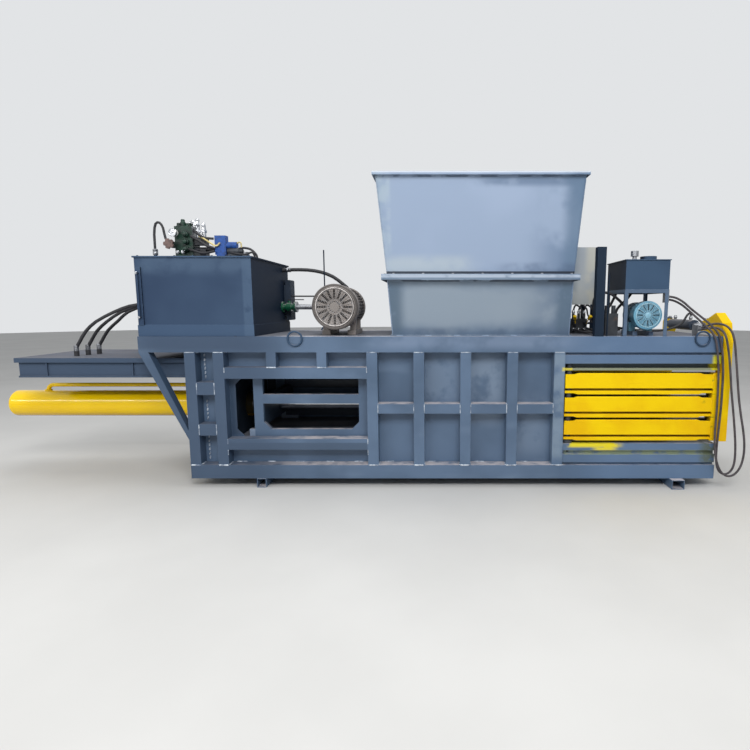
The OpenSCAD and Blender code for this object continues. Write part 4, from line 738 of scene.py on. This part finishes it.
def freeHose(node, look):
    line = smoothRoute(look["route"], 4)
    length = sum((b - a).length for a, b in zip(line, line[1:]))
    radius = look["diameter"] / 2
    radii = [radius * (0.985 + 0.015 * (i % 2)) for i in range(len(line))]
    piece = Shape().tube(line, radii, 12).done(node + "_tube", "hose_rubber", hoseWrap)
    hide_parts(node)
    print(node, "length %.3f" % length)


for node, look in hoses.items():
    freeHose(node, look)


# what several groups of fittings share

def wire(shape, points, radius, sides=8):
    # a smooth wire or pipe through points given in metres
    return shape.tube(smoothRoute([Vector(p) * 1000 for p in points], 6), radius, sides)


def wires(name, rows, slot, lift=0.0, finish=None):
    # one piece of several wires: the radius and the points of each, raised by lift
    piece = Shape()
    for radius, points in rows:
        wire(piece, [(x, y, z + lift) for x, y, z in points], radius)
    piece.done(name, slot, finish)


def fitting(shape, centre, axis, radius, length):
    # hexagon nut between two collars
    shape.lathe([(radius * 0.92, 0), (radius * 0.92, length * 0.25)], centre, axis, 16)
    nut = [(1.12, 0.25), (1.18, 0.3), (1.18, 0.68), (1.12, 0.72)]
    shape.lathe([(radius * r, length * h) for r, h in nut], centre, axis, 6)
    collar = [(0.86, 0.72), (0.86, 0.96), (0.78, 1)]
    shape.lathe([(radius * r, length * h) for r, h in collar], centre, axis, 16)


def fittings(name, rows, lift=0.0):
    # one bright piece of several fittings: place, axis, radius and length of each, raised by lift
    piece = Shape()
    for (x, y, z), axis, radius, length in rows:
        fitting(piece, (x, y, z + lift), axis, radius, length)
    piece.done(name, "chrome_rod")


# weld beads on the side frames

frameWork = {
    "outer": 0.680, "inner": 0.560, "bead": 0.007, "clear": 0.004, "baseReturn": 0.10, "midReturn": 0.06,
    "posts": [-1.470, -1.205, 0.225, 0.6625, 1.100, 1.5375, 1.975], "postWidth": 0.100,
    "baseTop": 0.222, "railFoot": 1.301, "guide": (0.372, 0.478), "strip": (1.054, 1.160),
    "mid": (0.722, 0.814), "rungs": [(0.510, 0.620), (0.900, 1.020)], "stubs": [-0.709, -0.238],
    "stubWidth": 0.090,
}


def frameWelds(side):
    # beads round the posts, rungs, window edges and middle rails of one side
    w = frameWork
    out, size, clear = side * w["outer"], w["bead"], w["clear"]
    base, foot = w["baseTop"], w["railFoot"]
    front, up = (0, side, 0), (0, 0, 1)
    bead = Shape()
    for x in w["posts"]:
        left, right = x + clear, x + w["postWidth"] - clear
        bead.weld((left, out, base), (right, out, base), size * 1.25, front)
        bead.weld((left, out, foot), (right, out, foot), size * 0.6, front)
        for edge in (x, x + w["postWidth"]):  # returns of the bead into the bay
            level = base + 0.002
            bead.weld((edge, out, level), (edge, out - side * w["baseReturn"], level), size, up)
    last = w["posts"][1] + w["postWidth"]
    for z in (w["guide"][1], w["guide"][0], w["strip"][1]):
        for x in (last, w["posts"][2]):
            bead.weld((x, out, z - 0.05), (x, out, z), size * 0.7, front)
    for low, high in w["rungs"]:
        for x in (w["posts"][0] + w["postWidth"], w["posts"][1]):
            bead.weld((x, out, low + clear), (x, out, high - clear), size * 0.7, front)
    low, high = w["mid"]
    for a, b in zip(w["posts"][2:], w["posts"][3:]):
        for x in (a + w["postWidth"], b):
            bead.weld((x, out, low + clear), (x, out, high - clear), size * 0.6, front)
            bead.weld((x, out, high), (x, out - side * w["midReturn"], high), size * 0.9, up)
    for x in w["stubs"]:
        bead.weld((x, out, w["strip"][1]), (x + w["stubWidth"], out, w["strip"][1]), size, front)
    bead.done("frame_welds_front" if side < 0 else "frame_welds_rear", "bare_steel", weldBead)


frameWelds(-1)
frameWelds(1)
print("welds laid")


# stitch welds and small things on the frames

stitchWork = {
    "start": -1.07, "end": 1.9, "run": (0.07, 0.10), "clear": 0.02, "lift": 0.003, "bead": 0.008,
    "wideGap": 0.20, "narrowGap": 0.13, "narrowFrom": 0.2,
    "bays": [(0.25, 0.49), (0.64, 0.88), (1.04, 1.29)], "bayX": (-1.336, -1.330), "tack": 0.03,
    "pitch": 0.042,
    "railX": [-1.47, -1.37, -1.205, -1.105, 0.225, 0.325], "railBead": 0.005, "railRun": (0.02, 0.10),
    "railGap": 0.004,
}


def stitchWelds(side):
    # short beads along the foot of the panels, up the narrow bays and under the top rail
    w, s = frameWork, stitchWork
    inner, out, foot = side * w["inner"], side * w["outer"], w["railFoot"] - s["railGap"]
    bead = Shape()
    x = s["start"]
    while x < s["end"]:
        run = dice.uniform(*s["run"])
        reach = (run + s["clear"], w["postWidth"] + s["clear"])
        if not any(post - reach[0] < x < post + reach[1] for post in w["posts"]):
            y = inner + side * s["lift"]
            bead.weld((x, y, w["baseTop"]), (x + run, y, w["baseTop"]), s["bead"], (0, side, 1))
        x += run + (s["wideGap"] if x < s["narrowFrom"] else s["narrowGap"])
    for low, high in s["bays"]:
        z = low
        while z < high - s["tack"]:
            start, end = s["bayX"]
            bead.weld((start, inner, z), (end, inner, z + s["tack"]), s["bead"], (0, side, 0))
            z += s["pitch"]
    near, far = (out - side * depth for depth in s["railRun"])
    for x in s["railX"]:
        bead.weld((x, near, foot), (x, far, foot), s["railBead"], (0, 0, -1))
    bead.done("stitch_welds_front" if side < 0 else "stitch_welds_rear", "bare_steel", weldBead)


stitchWelds(-1)
stitchWelds(1)

ringWork = {
    "x": (-0.432, 3.338), "y": 0.682, "z": 1.429, "radius": 0.066, "turns": (200, 225, 270, 315, 340),
    "half": 0.014, "bead": 0.0072,
}


def ringWelds():
    # short beads round the foot of each lifting ring
    r = ringWork
    bead = Shape()
    for side in (-1, 1):
        for x in r["x"]:
            for turn in map(math.radians, r["turns"]):
                way = Vector((math.cos(turn), 0, math.sin(turn)))
                along = Vector((-math.sin(turn), 0, math.cos(turn))) * r["half"]
                spot = Vector((x, side * r["y"], r["z"])) + way * r["radius"]
                bead.weld(spot - along, spot + along, r["bead"], (0, side, 0))
    bead.done("ring_welds", "bare_steel", weldBead)


ringWelds()

deckStud = {
    "spots": [(-0.985, -0.648), (-0.985, 0.648)], "z": 1.449, "nut": 0.030, "nutHeight": 0.026,
    "profile": [(0.010, 0), (0.010, 0.055), (0.008, 0.060)],
}


def deckStuds():
    # a stud with a nut on the rail beside the tank
    stud = Shape()
    for x, y in deckStud["spots"]:
        foot = (x, y, deckStud["z"])
        stud.lathe(deckStud["profile"], foot, (0, 0, 1), 12)
        stud.bolt(foot, (0, 0, 1), deckStud["nut"], deckStud["nutHeight"])
    stud.done("deck_studs", "dark_parts")


deckStuds()
print("frame details done")


# gauge, wires and fittings on the tank top

gaugeLook = {
    "centre": (-1.610, -0.4605, 2.416), "radius": 0.035, "marks": 21, "first": -135, "step": 13.5,
    "needle": -118,
    "rim": [(1.03, 0.012), (1.08, 0.0), (1.08, -0.008), (0.93, -0.010), (0.91, -0.002)],
}


def pressureGauge():
    # bright rim, scale marks, needle and its hub, with the rim's radii as shares of the dial's
    x, y, z = gaugeLook["centre"]
    r = gaugeLook["radius"]
    rim = Shape().lathe([(r * share, h) for share, h in gaugeLook["rim"]], (x, y, z), (0, 1, 0), 32)
    rim.done("gauge_rim", "chrome_rod")
    face = Shape()
    for i in range(gaugeLook["marks"]):
        long = i % 5 == 0
        turn = math.radians(gaugeLook["first"] + i * gaugeLook["step"])
        way = Vector((math.sin(turn), 0, math.cos(turn)))
        centre = Vector((x, y - 0.0012, z))
        near = centre + way * r * (0.70 if long else 0.78)
        face.tube([near, centre + way * r * 0.86], r * (0.022 if long else 0.012), 4)
    turn = math.radians(gaugeLook["needle"])
    way = Vector((math.sin(turn), 0, math.cos(turn)))
    centre = Vector((x, y - 0.002, z))
    face.tube([centre - way * r * 0.2, centre + way * r * 0.7], [r * 0.05, r * 0.015], 6)
    face.lathe([(r * 0.10, 0), (r * 0.08, -0.004)], (x, y, z), (0, 1, 0), 12)
    face.done("gauge_marks", "dark_parts")


pressureGauge()

# heights are above the tank's lid
tankTop = {
    "lid": 2.180,
    "fittings": [
        ((-1.424, -0.340, 0.296), (0, 0, 1), 0.021, 0.060),
        ((-1.420, -0.345, 0.325), (0, -1, 0), 0.020, 0.060),
        ((-1.440, -0.340, 0.345), (-1, 0, 0), 0.019, 0.055),
        ((-1.424, -0.340, 0.350), (0, 0, 1), 0.018, 0.030),
        ((-1.366, -0.340, 0.296), (0, 0, 1), 0.017, 0.050),
        ((-1.590, -0.400, 0.060), (0, -1, 0), 0.016, 0.040),
        ((-1.540, -0.400, 0.060), (0, -1, 0), 0.016, 0.040),
        ((-1.870, -0.300, 0.045), (0, 0, 1), 0.016, 0.040),
    ],
    "topValves": [(-1.600, 0.008), (-1.560, 0.042), (-1.520, -0.010)], "topValveFoot": (-0.350, 0.304),
    "topValveProfile": [(0.024, 0.0), (0.019, 0.005), (0.019, 0.022), (0.013, 0.028)],
    "sideValves": [0.085, 0.155, 0.225], "sideValveFoot": (-1.512, -0.400),
    "sideValveProfile": [(0.026, 0), (0.026, 0.026), (0.020, 0.030), (0.020, 0.050), (0.010, 0.056)],
    "cables": [
        (0.008, [(-1.400, -0.385, 0.215), (-1.345, -0.400, 0.188), (-1.290, -0.400, 0.150),
                 (-1.235, -0.395, 0.120), (-1.205, -0.376, 0.150)]),
        (0.007, [(-1.053, -0.340, 0.150), (-1.030, -0.345, 0.160), (-1.012, -0.350, 0.150),
                 (-1.010, -0.350, 0.110)]),
    ],
    "wires": [
        (0.012, [(-1.492, -0.330, 0.300), (-1.427, -0.390, 0.250), (-1.351, -0.395, 0.200),
                 (-1.290, -0.390, 0.190), (-1.262, -0.376, 0.190)]),
        (0.013, [(-1.466, -0.405, 0.211), (-1.383, -0.420, 0.165), (-1.310, -0.420, 0.118),
                 (-1.258, -0.400, 0.100)]),
        (0.012, [(-1.500, -0.410, 0.090), (-1.430, -0.425, 0.070), (-1.350, -0.420, 0.050),
                 (-1.250, -0.400, 0.070)]),
        (0.011, [(-1.060, -0.340, 0.090), (-0.998, -0.345, 0.106), (-0.931, -0.350, 0.096),
                 (-0.893, -0.350, 0.070), (-0.866, -0.350, 0.035), (-0.862, -0.350, 0.002)]),
        (0.009, [(-1.100, -0.373, 0.060), (-1.040, -0.390, 0.045), (-0.960, -0.390, 0.040),
                 (-0.900, -0.380, 0.060), (-0.880, -0.370, 0.030), (-0.880, -0.365, 0.002)]),
    ],
    "filterEnd": (-1.150, -0.340, 0.075),
    "filterProfile": [
        (0.016, 0), (0.030, 0.006), (0.034, 0.020), (0.034, 0.110), (0.028, 0.118), (0.022, 0.122),
        (0.022, 0.150), (0.014, 0.156),
    ],
    "filterFoot": ((-1.140, -0.368), (-1.030, -0.312), 0.050),
}


def manifoldValves():
    # small valves screwed into the top and the front of the green block
    lid = tankTop["lid"]
    y, foot = tankTop["topValveFoot"]
    green = Shape()
    for x, top in tankTop["topValves"]:
        body = [(0.024, -0.02)] + [(r, top + h) for r, h in tankTop["topValveProfile"]]
        green.lathe(body, (x, y, lid + foot), (0, 0, 1), 16)
    for h in tankTop["sideValves"]:
        green.lathe(tankTop["sideValveProfile"], (*tankTop["sideValveFoot"], lid + h), (0, -1, 0), 16)
    green.done("manifold_valves", "valve_green", special["valve_manifold"])


def returnFilter():
    # filter on its foot, between the directional valve and the breather
    lid = tankTop["lid"]
    x, y, h = tankTop["filterEnd"]
    low, high, tall = tankTop["filterFoot"]
    valve = Shape()
    valve.lathe(tankTop["filterProfile"], (x, y, lid + h), (1, 0, 0), 20)
    valve.block((*low, lid), (*high, lid + tall), 0.005)
    valve.done("return_filter", "dark_parts")


paleCable = softPlastic("paleCable", (222, 204, 140), 0.5)
fittings("tank_top_fittings", tankTop["fittings"], tankTop["lid"])
manifoldValves()
wires("valve_cable_pale", tankTop["cables"], "dial_white", tankTop["lid"], paleCable)
wires("tank_top_wires", tankTop["wires"], "hose_rubber", tankTop["lid"])
returnFilter()

cuffLook = {
    "hoseY": (-0.300, -0.180, -0.060), "wallEnd": (-1.938, 1.745), "deckEnd": (-2.730, 1.280), "shift": 0.035,
    "hoseProfile": [
        (0.021, 0), (0.023, 0.006), (0.023, 0.016), (0.020, 0.019), (0.023, 0.022), (0.023, 0.034),
        (0.020, 0.037), (0.023, 0.040), (0.023, 0.054), (0.017, 0.060),
    ],
    "others": [
        ((-1.870, -0.300, 2.222), (0, 0, 1)), ((-0.083, 0.340, 1.848), (-0.05, 0, 1)),
        ((-0.781, 0.300, 2.120), (1, 0, 0.03)),
    ],
    "otherProfile": [
        (0.020, 0), (0.024, 0.006), (0.024, 0.03), (0.021, 0.034), (0.024, 0.038), (0.024, 0.055),
        (0.018, 0.06),
    ],
}


def hoseCuffs():
    # crimped sleeves at the ends of the pressure hoses, the arch and the hose to the motor
    c = cuffLook
    cuffs = Shape()
    for i, y in enumerate(c["hoseY"]):
        (wallX, wallZ), (deckX, deckZ) = c["wallEnd"], c["deckEnd"]
        cuffs.lathe(c["hoseProfile"], (wallX, y, wallZ), (-1, 0, 0.01), 20)
        cuffs.lathe(c["hoseProfile"], (deckX + c["shift"] * i, y, deckZ), (0.03, 0, 1), 20)
    for end, way in c["others"]:
        cuffs.lathe(c["otherProfile"], end, way, 16)
    cuffs.done("hose_cuffs", "bare_steel")


hoseCuffs()
print("tank top done")


# motors

motorLook = {
    "main": {
        "x": -0.083, "z": 1.720, "front": -0.560, "radius": 0.214, "rings": 9, "slot": "motor_paint",
        "tyre": 0.075,
    },
    "small": {
        "x": 2.840, "z": 1.643, "front": -0.640, "radius": 0.132, "rings": 8, "slot": "small_motor_paint",
        "tyre": 0.045,
    },
}
motorLook["main"]["rim"] = paint("motorRim", {
    "dark": (70, 66, 64), "light": (104, 99, 96), "pale": (128, 122, 118), "seed": 1.0, "rough": 0.6,
    "worn": (170, 162, 156), "spot": (56, 52, 50), "coat": 0.0, "bump": 0.3,
})
motorLook["main"]["wire"] = paint("motorWire", {
    "dark": (116, 110, 106), "light": (156, 149, 144), "pale": (196, 190, 186), "seed": 2.0, "rough": 0.5,
    "coat": 0.0,
})
motorLook["small"]["wire"] = paint("smallMotorWire", {
    "dark": (96, 144, 166), "light": (134, 180, 200), "pale": (180, 214, 228), "seed": 2.0, "coat": 0.2,
})
motorLook["small"]["rim"] = paint("smallMotorRim", {
    "dark": (84, 140, 168), "light": (122, 180, 204), "pale": (176, 216, 230), "seed": 1.0,
    "worn": (206, 232, 240), "spot": (80, 120, 140), "coat": 0.3,
})
motorLook["main"]["bright"] = softPlastic("motorRing", (214, 208, 204), 0.35)
motorLook["small"]["bright"] = softPlastic("smallMotorRing", (176, 216, 230), 0.3)


def circle(x, y, z, r, sides=56):
    turns = [2 * math.pi * k / sides for k in range(sides)]
    return [(x + r * math.cos(turn), y, z + r * math.sin(turn)) for turn in turns]


def motorGrille(name, look):
    # rounded rim with its screws, wire rings, spokes and a hub on the fan cowl, all as shares of its radius
    x, z, y, r = look["x"], look["z"], look["front"], look["radius"]
    rim = Shape()
    thick = r * look["tyre"]
    rim.tube(circle(x, y + thick * 1.2, z, r * 0.985 - thick * 0.6), thick, 10, closed=True)
    rim.tube(circle(x, y + thick * 0.4, z, r * 0.985 - thick * 2.0), thick * 0.8, 10, closed=True)
    for turn in map(math.radians, (45, 135, 225, 315)):
        way = (math.cos(turn), 0, math.sin(turn))
        rim.bolt((x + r * 0.998 * way[0], y + r * 0.45, z + r * 0.998 * way[2]), way, r * 0.07)
    rim.done(name + "_motor_rim", look["slot"], look["rim"])
    grille = Shape()
    for i in range(look["rings"]):
        ring = r * (0.26 + 0.58 * i / (look["rings"] - 1))
        thick = r * (0.020 if i == look["rings"] - 1 else 0.011)
        grille.tube(circle(x, y - 0.001, z, ring, 48), thick, 6, closed=True)
    centre = Vector((x, y - 0.001, z))
    for i in range(16):
        turn = 2 * math.pi * (i + 0.5) / 16
        way = Vector((math.cos(turn), 0, math.sin(turn)))
        grille.tube([centre + way * r * 0.22, centre + way * r * 0.84], [r * 0.022, r * 0.016], 6)
    hub = [(r * 0.22, 0.004), (r * 0.22, -0.003), (r * 0.17, -0.007), (r * 0.02, -0.009)]
    grille.lathe(hub, (x, y, z), (0, 1, 0), 32)
    grille.done(name + "_motor_grille", look["slot"], look["wire"])
    ring = Shape()
    ring.tube(circle(x, y - 0.003, z, r * 0.83), r * 0.024, 8, closed=True)
    ring.done(name + "_motor_ring", look["slot"], look["bright"])


for name, look in motorLook.items():
    motorGrille(name, look)
print("motors done")


# hopper seams

hopperWork = {
    "foot": (0.461, 2.132, 0.550, 1.449), "joint": (0.427, 2.132, 0.660, 2.009),
    "rim": (0.350, 2.178, 0.800, 2.879), "bead": 0.006, "clear": 0.010,
    "feet": {"start": 0.50, "end": 2.05, "pitch": 0.27, "run": 0.06, "y": 0.573, "z": 1.451, "bead": 0.007},
    "tacks": {"x": (0.43, 0.50, 0.66, 0.93, 1.30, 1.48, 1.81, 2.07), "y": -0.801, "z": 2.870, "bead": 0.005},
}


def hopperSeams():
    # beads down the corners of both tiers, as left, right, half depth and height of their rims
    h = hopperWork
    bead = Shape()
    for low, high in ((h["foot"], h["joint"]), (h["joint"], h["rim"])):
        for end in (0, 1):
            for side in (-1, 1):
                start = (low[end], side * low[2], low[3] + h["clear"])
                stop = (high[end], side * high[2], high[3] - h["clear"])
                bead.weld(start, stop, h["bead"], (-1 if end == 0 else 1, side, 0))
    feet = h["feet"]
    for side in (-1, 1):  # short beads that hold the foot to the deck
        x = feet["start"]
        while x < feet["end"]:
            y, z = side * feet["y"], feet["z"]
            bead.weld((x, y, z), (x + feet["run"], y, z), feet["bead"], (0, side, 1))
            x += feet["pitch"]
    bead.done("hopper_seams", "hopper_paint", upperHopper)


def rimTacks():
    # dark tack marks under the front of the rim
    tacks = hopperWork["tacks"]
    y, z = tacks["y"], tacks["z"]
    tack = Shape()
    for x in tacks["x"]:
        tack.weld((x, y, z), (x + dice.uniform(0.010, 0.022), y, z), tacks["bead"], (0, -1, 0))
    tack.done("rim_tacks", "dark_parts")


hopperSeams()
rimTacks()
print("hopper done")


# gate details

gateWork = {
    "slots": [0.448, 0.6705, 0.893, 1.1155], "slotHalf": 0.016, "outer": 0.672, "bead": 0.007, "thin": 0.006,
    "arm": 3.470, "armBack": 3.474, "armEdge": 3.542, "depth": (0.560, 0.670),
}


def gateWelds(body, side):
    # beads where the beams meet the arm and down the arm's edge
    g = gateWork
    bead = Shape()
    face, edge = side * (g["outer"] - 0.002), side * (g["outer"] + 0.001)
    for low, high in zip(g["slots"], g["slots"][1:]):
        foot, top = low + g["slotHalf"], high - g["slotHalf"]
        level = foot + 0.01
        inner, outer = (side * y for y in g["depth"])
        bead.weld((g["arm"], face, foot + 0.06), (g["arm"], face, top), g["bead"], (0, side, 0))
        bead.weld((g["armBack"], inner, level), (g["armBack"], outer, level), g["bead"], (1, 0, 0))
        bead.weld((g["armEdge"], edge, foot), (g["armEdge"], edge, top + 0.02), g["thin"], (0, side, 0))
    bead.done(body + "_welds", "gate_yellow", body=body)


gateWelds("front_gate", -1)
gateWelds("rear_gate", 1)

pinWork = {
    "front": (3.574, -0.260, 1.594), "rear": (3.574, 0.560, 1.602), "size": 0.030, "head": 0.016,
    "port": (0.016, 0.045), "portAt": [(3.574, 0.060, 1.583), (3.574, 0.420, 1.583)],
}


def gatePins():
    # heads of the two pins of the squeeze cylinder, and its two ports
    p = pinWork
    front = Shape().bolt(p["front"], (0, 0, 1), p["size"], p["head"])
    front.done("front_pin_head", "bare_steel", body="squeeze_rod")
    rear = Shape().bolt(p["rear"], (0, 0, 1), p["size"], p["head"])
    for centre in p["portAt"]:
        fitting(rear, centre, (0, 0, 1), *p["port"])
    rear.done("squeeze_ports", "bare_steel", body="squeeze_barrel")


gatePins()
print("gates done")


# small power unit and the valves under the cabinet

unitHoses = [
    # arch from the pole to the unit, two loops under the small tank, and the hose to the squeeze cylinder
    (0.014, [(2.430, -0.330, 1.640), (2.420, -0.340, 1.780), (2.470, -0.360, 1.850), (2.560, -0.380, 1.850),
             (2.640, -0.400, 1.790), (2.700, -0.400, 1.730)]),
    (0.013, [(2.450, -0.250, 1.560), (2.520, -0.260, 1.640), (2.600, -0.270, 1.730), (2.660, -0.260, 1.850),
             (2.665, -0.250, 1.880)]),
    (0.013, [(2.660, -0.350, 1.500), (2.640, -0.330, 1.600), (2.660, -0.320, 1.700), (2.760, -0.300, 1.800),
             (2.820, -0.290, 1.880)]),
    (0.012, [(2.450, -0.060, 1.555), (2.540, -0.100, 1.540), (2.660, -0.110, 1.520), (2.800, -0.120, 1.500),
             (2.960, -0.060, 1.480), (3.140, 0.020, 1.470), (3.320, 0.060, 1.480), (3.470, 0.060, 1.540),
             (3.540, 0.060, 1.640), (3.574, 0.060, 1.650), (3.574, 0.060, 1.626)]),
]
wires("unit_hoses", unitHoses, "hose_rubber")

valveWork = {
    "levers": [(2.304, -0.02), (2.416, 0.03)], "leverFoot": (-0.112, 1.554), "frontX": (2.290, 2.345, 2.400),
    "topX": (2.304, 2.360, 2.416), "frontFitting": (0.015, 0.045), "topFitting": (0.014, 0.040),
    "frontHose": 0.011, "topHose": 0.009,
}


def valveGrips():
    # two thin levers with thick yellow grips
    grip = Shape()
    for x, lean in valveWork["levers"]:
        base = Vector((x, *valveWork["leverFoot"]))
        tip = base + Vector((lean, -0.055, 0.075))
        grip.tube([base, base.lerp(tip, 0.55)], 0.006, 8)
        ends = [base.lerp(tip, 0.50), base.lerp(tip, 0.58), tip, tip + (tip - base) * 0.05]
        grip.tube(ends, [0.010, 0.017, 0.019, 0.010], 14)
    grip.done("valve_grips", "cylinder_yellow")


def valveRows():
    # fittings on the front and the top of the valve block, and the hoses that leave them
    v = valveWork
    rows = [((x, -0.090, 1.490), (0, -1, 0), *v["frontFitting"]) for x in v["frontX"]]
    rows += [((x, -0.020, 1.645), (0, 0, 1), *v["topFitting"]) for x in v["topX"]]
    fittings("valve_fittings", rows)
    rows = []
    for i, x in enumerate(v["frontX"]):
        rows.append((v["frontHose"], [
            (x, -0.130, 1.490), (x, -0.190, 1.488), (x + 0.02, -0.250, 1.480 + 0.01 * i),
            (x + 0.09, -0.300, 1.470), (2.560, -0.320 + 0.03 * i, 1.470), (2.700, -0.300 + 0.03 * i, 1.500),
        ]))
    for x in v["topX"]:
        rows.append((v["topHose"], [
            (x, -0.020, 1.680), (x + 0.01, -0.030, 1.725), (x + 0.02, -0.080, 1.738),
            (x + 0.05, -0.130, 1.700), (x + 0.06, -0.150, 1.640), (x + 0.10, -0.170, 1.560),
        ]))
    wires("valve_hoses", rows, "hose_rubber")


valveGrips()
valveRows()

# bright ends of the level gauge
levelEnds = [((-1.845, -0.694, z), (0, -1, 0), 0.010, 0.020) for z in (1.625, 2.026)]
fittings("level_fittings", levelEnds)
print("small unit done")


# floor and light

room = {
    "floor": (206, 205, 202), "radius": 40, "sides": 64, "back": (226, 228, 230), "fill": 0.42,
    "fillTint": (0.93, 0.96, 1.0, 1),
}


def makeRoom():
    # one wide round plate, and a world that is pale to the camera and in mirrors and dimmer as a light
    floorMesh = bpy.data.meshes.new("floor")
    sides, radius = room["sides"], room["radius"]
    turns = [2 * math.pi * i / sides for i in range(sides)]
    rim = [(radius * math.cos(turn), radius * math.sin(turn), 0) for turn in turns]
    floorMesh.from_pydata(rim, [], [tuple(range(sides))])
    s = Surface("floorFinish")
    wave = s.noise(0.8, 4.0)
    colour = mixTint(s.t, tuple(c * 0.97 for c in room["floor"]), room["floor"], wave.step(0.3, 0.7))
    floorMesh.materials.append(s.close(colour, 0.75))
    floor = bpy.data.objects.new("floor", floorMesh)
    scene.collection.objects.link(floor)
    world = bpy.data.worlds.new("studio")
    world.use_nodes = True
    world.node_tree.nodes.clear()
    t = Socket(world.node_tree)
    seen = t.node("ShaderNodeLightPath", out=0)
    for out in (3, 6):
        seen = seen.high(t.node("ShaderNodeLightPath", out=out))
    fill = t.node("ShaderNodeBackground", {}, {"Color": room["fillTint"], "Strength": room["fill"]})
    back = t.node("ShaderNodeBackground", {}, {"Color": full(room["back"]), "Strength": 1.0})
    both = t.node("ShaderNodeMixShader", {}, {0: seen, 1: fill, 2: back})
    t.node("ShaderNodeOutputWorld", {}, {0: both})
    scene.world = world


makeRoom()

# the strip draws the long light line on the main cylinder
lamps = {
    "front": {"place": (2.0, -8.0, 7.5), "aim": (0.9, 0, 1.2), "size": (4.5, 3), "power": 600},
    "strip": {"place": (-7.0, -6.2, 4.3), "aim": (-7.0, 0, 0.75), "size": (11, 0.2), "power": 250},
    "above": {"place": (0.3, 0.5, 8.5), "aim": (0.3, 0, 0), "size": (9, 6), "power": 380},
}
for name, look in lamps.items():
    makeLamp(name, look)
print("room made")
